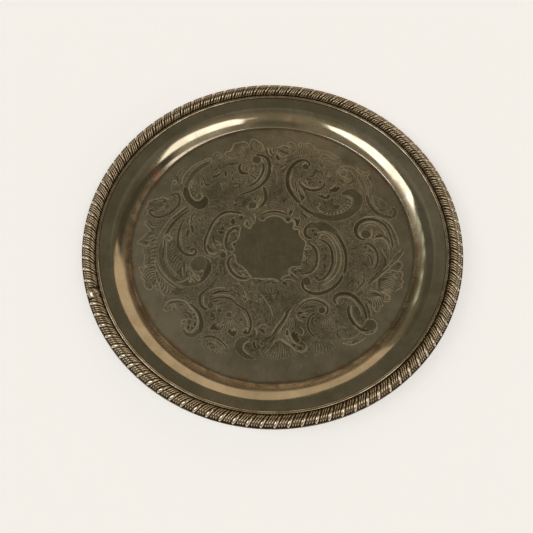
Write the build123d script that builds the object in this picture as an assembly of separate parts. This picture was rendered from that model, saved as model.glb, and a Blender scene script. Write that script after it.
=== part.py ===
from build123d import *
from build123d.topology import SkipClean
import math
import os

# Round tray used as an offering plate: a stamped sheet with a flat floor, a creased well,
# an outward-leaning cavetto and a sloping flange, edged with an applied gadroon border.
# Frame: millimetres, +Z up, origin at the centre of the underside of the floor, on the
# axis of the tray. Everything is a body of revolution about Z.

# ---------------------------------------------------------------- driving dimensions
SHEET_T = 1.0            # thickness of the plated sheet
RIM_R = 155.5            # outer radius of the tray (12 1/4 in across)

CREASE_R = 118.13        # radius where the flat floor ends
CREASE_FILLET = 0.9      # inside radius of the crease
WALL_SLOPE = 48.0        # slope of the cavetto just above the crease, degrees
CAVETTO_R = 33.0         # section radius of the cavetto
CAVETTO_END_SLOPE = 22.0 # slope where the cavetto turns over to the flange
SHOULDER_R = 12.0        # section radius of that turn
FLANGE_SLOPE = 10.0      # slope of the flange
FLANGE_END_R = 144.6     # radius where the flange flattens out under the border
SEAT_FILLET = 10.0       # section radius of that last bend
SEAT_END_R = 154.2       # outer edge of the sheet, under the border

BEAD_IN_R = 141.7        # inner edge of the half-round moulding
BEAD_OUT_R = 144.3       # outer edge of the half-round moulding
BEAD_H = 0.95            # height of the moulding above the flange

BORDER_IN_R = 145.0      # inner foot of the gadroon strip
BORDER_FOOT_H = 1.5      # height of the strip's inner edge above the sheet
BORDER_CREST_R = 149.2   # radius of the crest of the gadroons
BORDER_CREST_Z = 17.2    # height of the crest: the top of the tray
BORDER_OUT_R = 154.2     # outer foot of the gadroon strip
BORDER_OUT_Z = 14.6      # height of the strip at its outer edge
BORDER_T = 0.8           # thickness of the struck strip
SEAM_ANGLE_AT = 200.1    # where the two ends of the strip meet, degrees from +X
SEAM_GAP = 1.2           # gap between the two ends, filled with solder

WIRE_TOP_Z = 14.1        # top of the plain rim wire
WIRE_BOTTOM_Z = 11.55    # bottom of the plain rim wire

RING_LENGTHS = 24        # equal lengths that each thin ring is built from


def rad(a):
    return math.radians(a)


def arc_step(point, slope_from, slope_to, radius):
    """End and middle of a section arc that bends downwards from one slope to a smaller one."""
    def at(slope):
        return (
            point[0] + radius * (math.sin(rad(slope_from)) - math.sin(rad(slope))),
            point[1] + radius * (math.cos(rad(slope)) - math.cos(rad(slope_from))),
        )

    return at((slope_from + slope_to) / 2), at(slope_to)


def offset_down(point, slope, distance):
    """The point under a top-surface point, square to the surface."""
    return (point[0] + distance * math.sin(rad(slope)), point[1] - distance * math.cos(rad(slope)))


# ---------------------------------------------------------------- section of the sheet
def fillet_point(slope, radius):
    return (CREASE_R + radius * math.sin(rad(slope)), radius * (1 - math.cos(rad(slope))))


top_0 = (0.0, SHEET_T)
top_1 = (CREASE_R, SHEET_T)
f_mid = fillet_point(WALL_SLOPE / 2, CREASE_FILLET)
f_end = fillet_point(WALL_SLOPE, CREASE_FILLET)
top_2m = (f_mid[0], f_mid[1] + SHEET_T)
top_2 = (f_end[0], f_end[1] + SHEET_T)
top_3m, top_3 = arc_step(top_2, WALL_SLOPE, CAVETTO_END_SLOPE, CAVETTO_R)
top_4m, top_4 = arc_step(top_3, CAVETTO_END_SLOPE, FLANGE_SLOPE, SHOULDER_R)
top_5 = (FLANGE_END_R, top_4[1] + (FLANGE_END_R - top_4[0]) * math.tan(rad(FLANGE_SLOPE)))
top_6m, top_6 = arc_step(top_5, FLANGE_SLOPE, 0.0, SEAT_FILLET)
SEAT_Z = top_6[1]
top_7 = (SEAT_END_R, SEAT_Z)

bot_7 = (SEAT_END_R, SEAT_Z - SHEET_T)
bot_6 = (top_6[0], SEAT_Z - SHEET_T)
bot_6m = offset_down(top_6m, FLANGE_SLOPE / 2, SHEET_T)
bot_5 = offset_down(top_5, FLANGE_SLOPE, SHEET_T)
bot_4 = offset_down(top_4, FLANGE_SLOPE, SHEET_T)
bot_4m = offset_down(top_4m, (CAVETTO_END_SLOPE + FLANGE_SLOPE) / 2, SHEET_T)
bot_3 = offset_down(top_3, CAVETTO_END_SLOPE, SHEET_T)
bot_3m = offset_down(top_3m, (WALL_SLOPE + CAVETTO_END_SLOPE) / 2, SHEET_T)
bot_2 = offset_down(top_2, WALL_SLOPE, SHEET_T)
bot_2m = offset_down(top_2m, WALL_SLOPE / 2, SHEET_T)
bot_1 = (CREASE_R, 0.0)
bot_0 = (0.0, 0.0)


def flange_z(r):
    return top_4[1] + (r - top_4[0]) * math.tan(rad(FLANGE_SLOPE))


def seat_z(r):
    """Top of the sheet under the border, anywhere from the flange outwards."""
    if r <= top_5[0]:
        return flange_z(r)
    if r >= top_6[0]:
        return SEAT_Z
    s = math.asin((top_6[0] - r) / SEAT_FILLET)
    return SEAT_Z - SEAT_FILLET * (1 - math.cos(s))


def v(p):
    return (p[0], 0.0, p[1])


def ring(edges, angle=360.0, start=0.0, lengths=1):
    """Revolve a closed section, given as 2-point lines and 3-point arcs, about Z.
    A thin ring is made of equal lengths joined end to end into one solid, so that its faces
    stay short compared with its section."""
    made = []
    for e in edges:
        if len(e) == 2:
            made.append(Line(v(e[0]), v(e[1])))
        else:
            made.append(ThreePointArc(v(e[0]), v(e[1]), v(e[2])))
    face = make_face(made)
    step = angle / lengths
    pieces = [Rot(0, 0, start + k * step) * revolve(face, axis=Axis.Z, revolution_arc=step).solid()
              for k in range(lengths)]
    if lengths == 1:
        return pieces[0]
    with SkipClean():
        return pieces[0].fuse(*pieces[1:]).solid()


plate_body = ring([
    (top_0, top_1), (top_1, top_2m, top_2), (top_2, top_3m, top_3), (top_3, top_4m, top_4),
    (top_4, top_5), (top_5, top_6m, top_6), (top_6, top_7), (top_7, bot_7), (bot_7, bot_6),
    (bot_6, bot_6m, bot_5), (bot_5, bot_4), (bot_4, bot_4m, bot_3), (bot_3, bot_3m, bot_2),
    (bot_2, bot_2m, bot_1), (bot_1, bot_0), (bot_0, top_0),
])

# ---------------------------------------------------------------- half-round moulding
bead_a = (BEAD_IN_R, flange_z(BEAD_IN_R))
bead_b = (BEAD_OUT_R, flange_z(BEAD_OUT_R))
bead_c = ((BEAD_IN_R + BEAD_OUT_R) / 2 - BEAD_H * math.sin(rad(FLANGE_SLOPE)),
          flange_z((BEAD_IN_R + BEAD_OUT_R) / 2) + BEAD_H * math.cos(rad(FLANGE_SLOPE)))
bead_moulding = ring([(bead_a, bead_c, bead_b), (bead_b, bead_a)], lengths=RING_LENGTHS)

# ---------------------------------------------------------------- gadroon strip, hollow at the back
# Outer contour: inner foot, up the inner edge, over the crest, down to the outer edge.
# the strip's feet stand on the flat seat; its inner edge overhangs the last bend by a hair
g_in_low = (BORDER_IN_R, SEAT_Z)
g_in_high = (BORDER_IN_R + 0.15, SEAT_Z + BORDER_FOOT_H)
g_rise = (146.9, 16.35)
g_crest = (BORDER_CREST_R, BORDER_CREST_Z)
g_fall = (152.2, 16.35)
g_out_high = (BORDER_OUT_R, BORDER_OUT_Z)
g_out_low = (BORDER_OUT_R, SEAT_Z)
h_out_low = (BORDER_OUT_R - BORDER_T, SEAT_Z)
h_out_high = (BORDER_OUT_R - BORDER_T, BORDER_OUT_Z - 0.75)
h_fall = (151.7, 15.65)
h_crest = (BORDER_CREST_R, BORDER_CREST_Z - BORDER_T)
h_rise = (147.35, 15.7)
h_in_high = (BORDER_IN_R + 0.15 + BORDER_T, SEAT_Z + BORDER_FOOT_H - 0.25)
h_in_low = (BORDER_IN_R + BORDER_T + 0.1, SEAT_Z)

outer_contour = [(g_in_low, g_in_high), (g_in_high, g_rise, g_crest), (g_crest, g_fall, g_out_high), (g_out_high, g_out_low)]
inner_contour = [(h_out_low, h_out_high), (h_out_high, h_fall, h_crest), (h_crest, h_rise, h_in_high), (h_in_high, h_in_low)]
strip_section = outer_contour + [(g_out_low, h_out_low)] + inner_contour + [(h_in_low, g_in_low)]

seam_angle = math.degrees(SEAM_GAP / BORDER_CREST_R)
gadroon_border = ring(strip_section, 360.0 - seam_angle, SEAM_ANGLE_AT + seam_angle / 2, RING_LENGTHS)
seam_solder = ring(strip_section, seam_angle, SEAM_ANGLE_AT - seam_angle / 2)

# ---------------------------------------------------------------- solder behind the strip
border_fill = ring([
    (h_out_low, h_out_high), (h_out_high, h_fall, h_crest), (h_crest, h_rise, h_in_high),
    (h_in_high, h_in_low), (h_in_low, h_out_low),
], lengths=RING_LENGTHS)

# ---------------------------------------------------------------- plain wire round the edge
w_in_top = (BORDER_OUT_R, WIRE_TOP_Z - 0.2)
w_top = (BORDER_OUT_R + 0.55, WIRE_TOP_Z)
w_out_top = (RIM_R, WIRE_TOP_Z - 0.8)
w_top_mid = (RIM_R - 0.22, WIRE_TOP_Z - 0.22)
w_out_low = (RIM_R, WIRE_BOTTOM_Z + 0.7)
w_low_mid = (RIM_R - 0.2, WIRE_BOTTOM_Z + 0.2)
w_low = (RIM_R - 0.7, WIRE_BOTTOM_Z)
w_in_low = (BORDER_OUT_R, WIRE_BOTTOM_Z)
rim_wire = ring([
    (w_in_top, w_top), (w_top, w_top_mid, w_out_top), (w_out_top, w_out_low),
    (w_out_low, w_low_mid, w_low), (w_low, w_in_low), (w_in_low, w_in_top),
], lengths=RING_LENGTHS)

parts = {
    "plate_body": plate_body,
    "bead_moulding": bead_moulding,
    "gadroon_border": gadroon_border,
    "seam_solder": seam_solder,
    "border_fill": border_fill,
    "rim_wire": rim_wire,
}

os.makedirs("parts", exist_ok=True)
for name, shape in parts.items():
    shape.label = name
    export_step(shape, "parts/" + name + ".step")
    box = shape.bounding_box()
    print(name, "volume", round(shape.volume, 1), "mm3, z", round(box.min.Z, 3), "to", round(box.max.Z, 3), "r", round(box.max.X, 3))
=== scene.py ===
import math

import bpy
import numpy as np
from mathutils import Matrix, Vector


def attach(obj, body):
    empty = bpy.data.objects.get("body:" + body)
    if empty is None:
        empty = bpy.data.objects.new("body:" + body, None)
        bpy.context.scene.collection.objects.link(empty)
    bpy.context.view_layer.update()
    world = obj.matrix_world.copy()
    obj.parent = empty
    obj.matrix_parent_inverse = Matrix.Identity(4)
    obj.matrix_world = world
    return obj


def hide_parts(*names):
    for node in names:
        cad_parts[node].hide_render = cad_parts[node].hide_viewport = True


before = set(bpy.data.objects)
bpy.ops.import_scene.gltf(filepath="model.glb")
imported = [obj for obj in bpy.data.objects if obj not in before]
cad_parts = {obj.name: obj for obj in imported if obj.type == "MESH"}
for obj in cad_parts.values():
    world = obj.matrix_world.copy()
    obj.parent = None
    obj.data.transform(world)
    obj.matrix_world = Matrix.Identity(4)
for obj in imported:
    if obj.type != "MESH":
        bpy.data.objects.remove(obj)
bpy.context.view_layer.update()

RNG = np.random.default_rng(7)
MM = 0.001
TAU = 2 * math.pi

# ------------------------------------------------------------------ sizes (mm), as in the CAD
CREASE_R = 118.13
FLOOR_Z = 1.0
DISC_R = 117.4
SEAT_Z = 12.637
RIM_R = 155.5


def rad(a):
    return math.radians(a)


# ------------------------------------------------------------------ mesh helpers
def smooth_noise(px, py, scale, seed, octaves=3):
    """Smooth value noise at points (px, py), about -1..1."""
    out = np.zeros_like(px, dtype=float)
    amp, tot = 1.0, 0.0
    for o in range(octaves):
        r = np.random.default_rng(seed + 101 * o)
        table = r.uniform(-1, 1, (64, 64))
        x = px / scale + 13.7 * o
        y = py / scale - 7.1 * o
        xi = np.floor(x).astype(int)
        yi = np.floor(y).astype(int)
        fx = x - xi
        fy = y - yi
        fx = fx * fx * (3 - 2 * fx)
        fy = fy * fy * (3 - 2 * fy)
        a = table[xi % 64, yi % 64]
        b = table[(xi + 1) % 64, yi % 64]
        c = table[xi % 64, (yi + 1) % 64]
        d = table[(xi + 1) % 64, (yi + 1) % 64]
        out += amp * ((a * (1 - fx) + b * fx) * (1 - fy) + (c * (1 - fx) + d * fx) * fy)
        tot += amp
        amp *= 0.5
        scale = scale / 2.03
    return out / tot


def make_mesh(name, co, faces, attributes=None, smooth=True):
    """co in mm (n, 3); faces an (m, 3) or (m, 4) array, or a list of such arrays."""
    if not isinstance(faces, list):
        faces = [faces]
    me = bpy.data.meshes.new(name)
    me.vertices.add(len(co))
    me.vertices.foreach_set("co", (np.asarray(co, float) * MM).astype(np.float32).ravel())
    loops = np.concatenate([f.ravel() for f in faces]).astype(np.int32)
    counts = np.concatenate([np.full(len(f), f.shape[1], np.int32) for f in faces])
    starts = np.concatenate([[0], np.cumsum(counts)[:-1]]).astype(np.int32)
    me.loops.add(len(loops))
    me.loops.foreach_set("vertex_index", loops)
    me.polygons.add(len(counts))
    me.polygons.foreach_set("loop_start", starts)
    me.polygons.foreach_set("loop_total", counts)
    me.polygons.foreach_set("use_smooth", np.full(len(counts), smooth))
    for key, value in (attributes or {}).items():
        a = me.attributes.new(key, "FLOAT", "POINT")
        a.data.foreach_set("value", np.asarray(value, np.float32).ravel())
    me.update(calc_edges=True)
    me.validate()
    ob = bpy.data.objects.new(name, me)
    bpy.context.scene.collection.objects.link(ob)
    return ob


def ring_quads(nr, na, closed_profile=False):
    """Quads of a grid of nr profile points by na angles, index = i * na + j, wrapping in j."""
    i = np.arange(nr if closed_profile else nr - 1)
    j = np.arange(na)
    I, J = np.meshgrid(i, j, indexing="ij")
    I2 = (I + 1) % nr
    J2 = (J + 1) % na
    # profile runs outwards over the top, so this order faces up
    return np.stack([I * na + J, I2 * na + J, I2 * na + J2, I * na + J2], -1).reshape(-1, 4)


def revolve(name, profile, na, attributes=None, closed=True, wobble=None, cap_start=False):
    """profile: list of (r, z). Faces look to the left of the direction of travel seen with r right, z up."""
    p = np.asarray(profile, float)
    ang = np.arange(na) / na * TAU
    R = np.repeat(p[:, 0], na).reshape(len(p), na)
    Z = np.repeat(p[:, 1], na).reshape(len(p), na)
    A = np.tile(ang, (len(p), 1))
    if wobble is not None:
        Z = Z + wobble(R, A, Z)
    co = np.stack([R * np.cos(A), R * np.sin(A), Z], -1).reshape(-1, 3)
    return co, ring_quads(len(p), na, closed)


# ------------------------------------------------------------------ section of the sheet (top side)
def arc_points(point, s0, s1, radius, n):
    a = np.linspace(rad(s0), rad(s1), n + 1)[1:]
    return [(point[0] + radius * (math.sin(rad(s0)) - math.sin(t)),
             point[1] + radius * (math.cos(t) - math.cos(rad(s0)))) for t in a]


def top_section():
    pts = [(DISC_R, FLOOR_Z), (CREASE_R - 0.35, FLOOR_Z), (CREASE_R, FLOOR_Z)]
    for t in np.linspace(0, rad(48), 7)[1:]:
        pts.append((CREASE_R + 0.9 * math.sin(t), FLOOR_Z + 0.9 * (1 - math.cos(t))))
    pts += arc_points(pts[-1], 48, 22, 33.0, 26)
    pts += arc_points(pts[-1], 22, 10, 12.0, 8)
    p4 = pts[-1]
    for r in np.linspace(p4[0], 144.6, 12)[1:]:
        pts.append((r, p4[1] + (r - p4[0]) * math.tan(rad(10))))
    pts += arc_points(pts[-1], 10, 0, 10.0, 5)
    for r in (148.5, 151.5, 154.0):
        pts.append((r, SEAT_Z))
    return pts


TOP = top_section()


def flange_z(r):
    rr = [p[0] for p in TOP]
    zz = [p[1] for p in TOP]
    return np.interp(r, rr, zz)


def bottom_section():
    """The same section 1 mm below, from the rim in to the middle of the underside."""
    p = np.array(TOP[2:])
    d = np.gradient(p, axis=0)
    d /= np.linalg.norm(d, axis=1)[:, None]
    n = np.stack([d[:, 1], -d[:, 0]], -1)
    q = p + n
    q[:, 1] = np.minimum(q[:, 1], SEAT_Z - 1)
    q[0] = (CREASE_R, 0.0)
    return [tuple(x) for x in q[::-1]]



# ------------------------------------------------------------------ plate wall
def plate_wobble(R, A, Z):
    """Hand-raised, long-used sheet: a few hundredths of a millimetre of slow waviness."""
    X, Y = R * np.cos(A), R * np.sin(A)
    w = 0.045 * smooth_noise(X + 300, Y + 300, 34.0, 21, 3)
    fade = np.clip((R - 119.0) / 4.0, 0, 1) * np.clip((150.0 - R) / 4.0, 0, 1)
    return w * fade


wall_top = TOP
edge = [(154.15, SEAT_Z - 0.12), (154.2, SEAT_Z - 0.5), (154.15, SEAT_Z - 0.88)]
under = bottom_section()
inner_under = [(r, 0.0) for r in (112, 100, 84, 66, 48, 32, 18, 8)]
NA = 1440
profile = wall_top + edge + under + inner_under
co, quads = revolve("plate_wall", profile, NA, closed=False, wobble=plate_wobble)
quads = quads[:, ::-1]
centre = len(co)
co = np.vstack([co, [[0, 0, 0]]])
last = (len(profile) - 1) * NA
j = np.arange(NA)
tris = np.stack([last + j, last + (j + 1) % NA, np.full(NA, centre)], -1)
r_attr = np.hypot(co[:, 0], co[:, 1])
kind = np.zeros(len(co))
plate_wall = make_mesh("plate_wall", co, [quads, tris])

# ------------------------------------------------------------------ plate floor (with the etched ornament)
RINGS = 330
DR = DISC_R / RINGS


def disc_mesh():
    pts = [(0.0, 0.0)]
    start = [0]
    for k in range(1, RINGS + 1):
        n = 8 * k
        start.append(len(pts))
        a = np.arange(n) / n * TAU
        r = DR * k
        pts.extend(zip(r * np.cos(a), r * np.sin(a)))
    start.append(len(pts))
    P = np.array(pts)
    tri = []
    for k in range(1, RINGS + 1):
        n = 8 * k
        m = 8 * (k - 1)
        o = start[k]
        q = start[k - 1]
        for s in range(8):
            a = o + s * k + np.arange(k + 1)
            a[-1] = o + ((s + 1) * k) % n
            if k == 1:
                tri.append([q, a[0], a[1]])
                continue
            b = q + s * (k - 1) + np.arange(k)
            b[-1] = q + ((s + 1) * (k - 1)) % m
            t1 = np.stack([b, a[:-1], a[1:]], -1)
            t2 = np.stack([b[:-1], a[1:-1], b[1:]], -1)
            tri.extend(t1.tolist())
            tri.extend(t2.tolist())
    return P, np.array(tri)


# ------------------------------------------------------------------ engraved ornament of the well (mm)
# Each line is one stroke of the graver: kind, width (tapering a/b/c), points x,y along it.
# D dark scroll with a bright outline, P plain band with a bright outline, d dark cut, L bright line,
# l faint bright line, O dark boss with outline, o dark dot, R bright ring, F dark shape with outline,
# Q plain shape with outline, V fan of ribs between two lines, T ticks inside a shape.
GROUND = """
-58.7,86 -55,88 -53,91.5 -49,91.5 -45.5,88.5 -42.5,91.5 -39.5,93 -39,96 -36.1,100.3 -31.7,101.4 -28.3,102.6 -25,101.4 -22.8,100.5
-21.7,104.2 -19.4,105.3 -16.1,103.7 -12.8,101.4 -10.6,98.7 -9.4,95.3 -7.5,95 -6.5,97.5 -4,98.3 -1,97.5 2,98 6,98.8 10,101
12,103.5 15,103.5 18,101 20,100.5 22,103.5 25,102 28,102.5 31,102.5 33.5,100 35.5,97 38,95.5 43,95.3 48,94 52,91.5 56,88
57.8,85 60,83 66,81.5 71,78.5 75,76 79,74.5 82,75.5 83,73 81,69.5 83.5,65 84.5,60 83.5,55 86,52 88.5,49.5 92,48.5 94,46
97,44 100,42 104,39.5 105.5,35 104,31 100,28.5 98,28 101,24 103.5,17 105.5,9 105.5,4 104,0 108,1.5 112,0 110,-3 106,-8
107,-12 109,-15 107.5,-18.5 109,-22 108,-28 106.5,-33 102,-37 98,-39.5 96.5,-44 93,-47 90,-50 87,-52.5 84,-56 81.5,-59
82,-61.5 85,-64 85.5,-69 83,-73.5 78,-75.5 75,-78 71,-82 65,-84.5 58,-84 53,-81 50,-83 52,-90 48,-94 43,-93 36,-94 28,-95
20,-95 12,-97 4,-98 -3,-96 -8,-97 -11,-98.5 -17,-99 -23,-96 -28,-91 -30,-90 -33,-92 -37,-95 -42,-94 -47,-92 -52,-89
-55.5,-86 -56.5,-82.5 -58,-81 -63,-80 -67,-77 -70,-72 -71,-66 -72,-61 -77,-60 -82,-60.5 -86,-58.5 -87,-54.5 -85,-51
-87.5,-48.5 -87,-46 -85,-46 -87,-44 -90,-41.5 -93,-39.5 -96,-39 -97,-41.5 -100,-42 -102.5,-40 -104,-36 -104.5,-33
-107,-30.5 -108,-26 -109.5,-22 -104.5,-21.5 -105.5,-19 -106,-11 -107.5,-8 -107.5,-4.5 -103,-2 -108,-1.5 -113,0 -109.5,5
-106,9.5 -103,12 -106,14.5 -108,18 -107.5,22 -105,24 -108,27 -109,33 -107,36.5 -107,40.5 -103,42.5 -98,43.5 -95,45 -92,44
-89,43.5 -89,47 -87.5,51 -88,56 -89,60 -86,62.5 -84,64 -85,69 -82,73.5 -79,75 -76,74 -73.1,76 -67.6,80.5 -62,84
"""
CARTOUCHE = """
-7,25.5 -4,27.5 0,28.6 4,28.3 7.5,27 9.5,25 10.5,23.5 12.5,22.8 14.5,23.8 16,24.5 16.8,22 16.2,19.5 16.8,17.3 19,16.6 21.5,16
22,12 24,8.5 27,5.5 27.3,3 26.4,0 26,-4 25.5,-9 24.4,-13 24.2,-16 22,-17.5 18,-17.5 15,-19 13.6,-21.5 14.5,-24 12,-25.8
9,-27 7.5,-29.5 6.5,-31 4,-30 0,-28.6 -6,-29 -12,-28.8 -16,-29 -17.2,-27 -19,-25.4 -21,-22 -23.5,-19.7 -25.5,-17.8
-28.2,-16.6 -30,-13.5 -30.5,-10 -31,-7 -33,-5.6 -31.6,-2.5 -33.5,0.5 -32.5,3 -29.8,5.3 -28.2,9 -27.6,14 -26.8,17.5
-24.5,19.3 -21.8,17 -19.3,16.2 -17.6,20 -16.3,21.8 -15.3,25.5 -13.5,27 -11.5,25 -9.5,23.6 -7.4,24
"""
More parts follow.
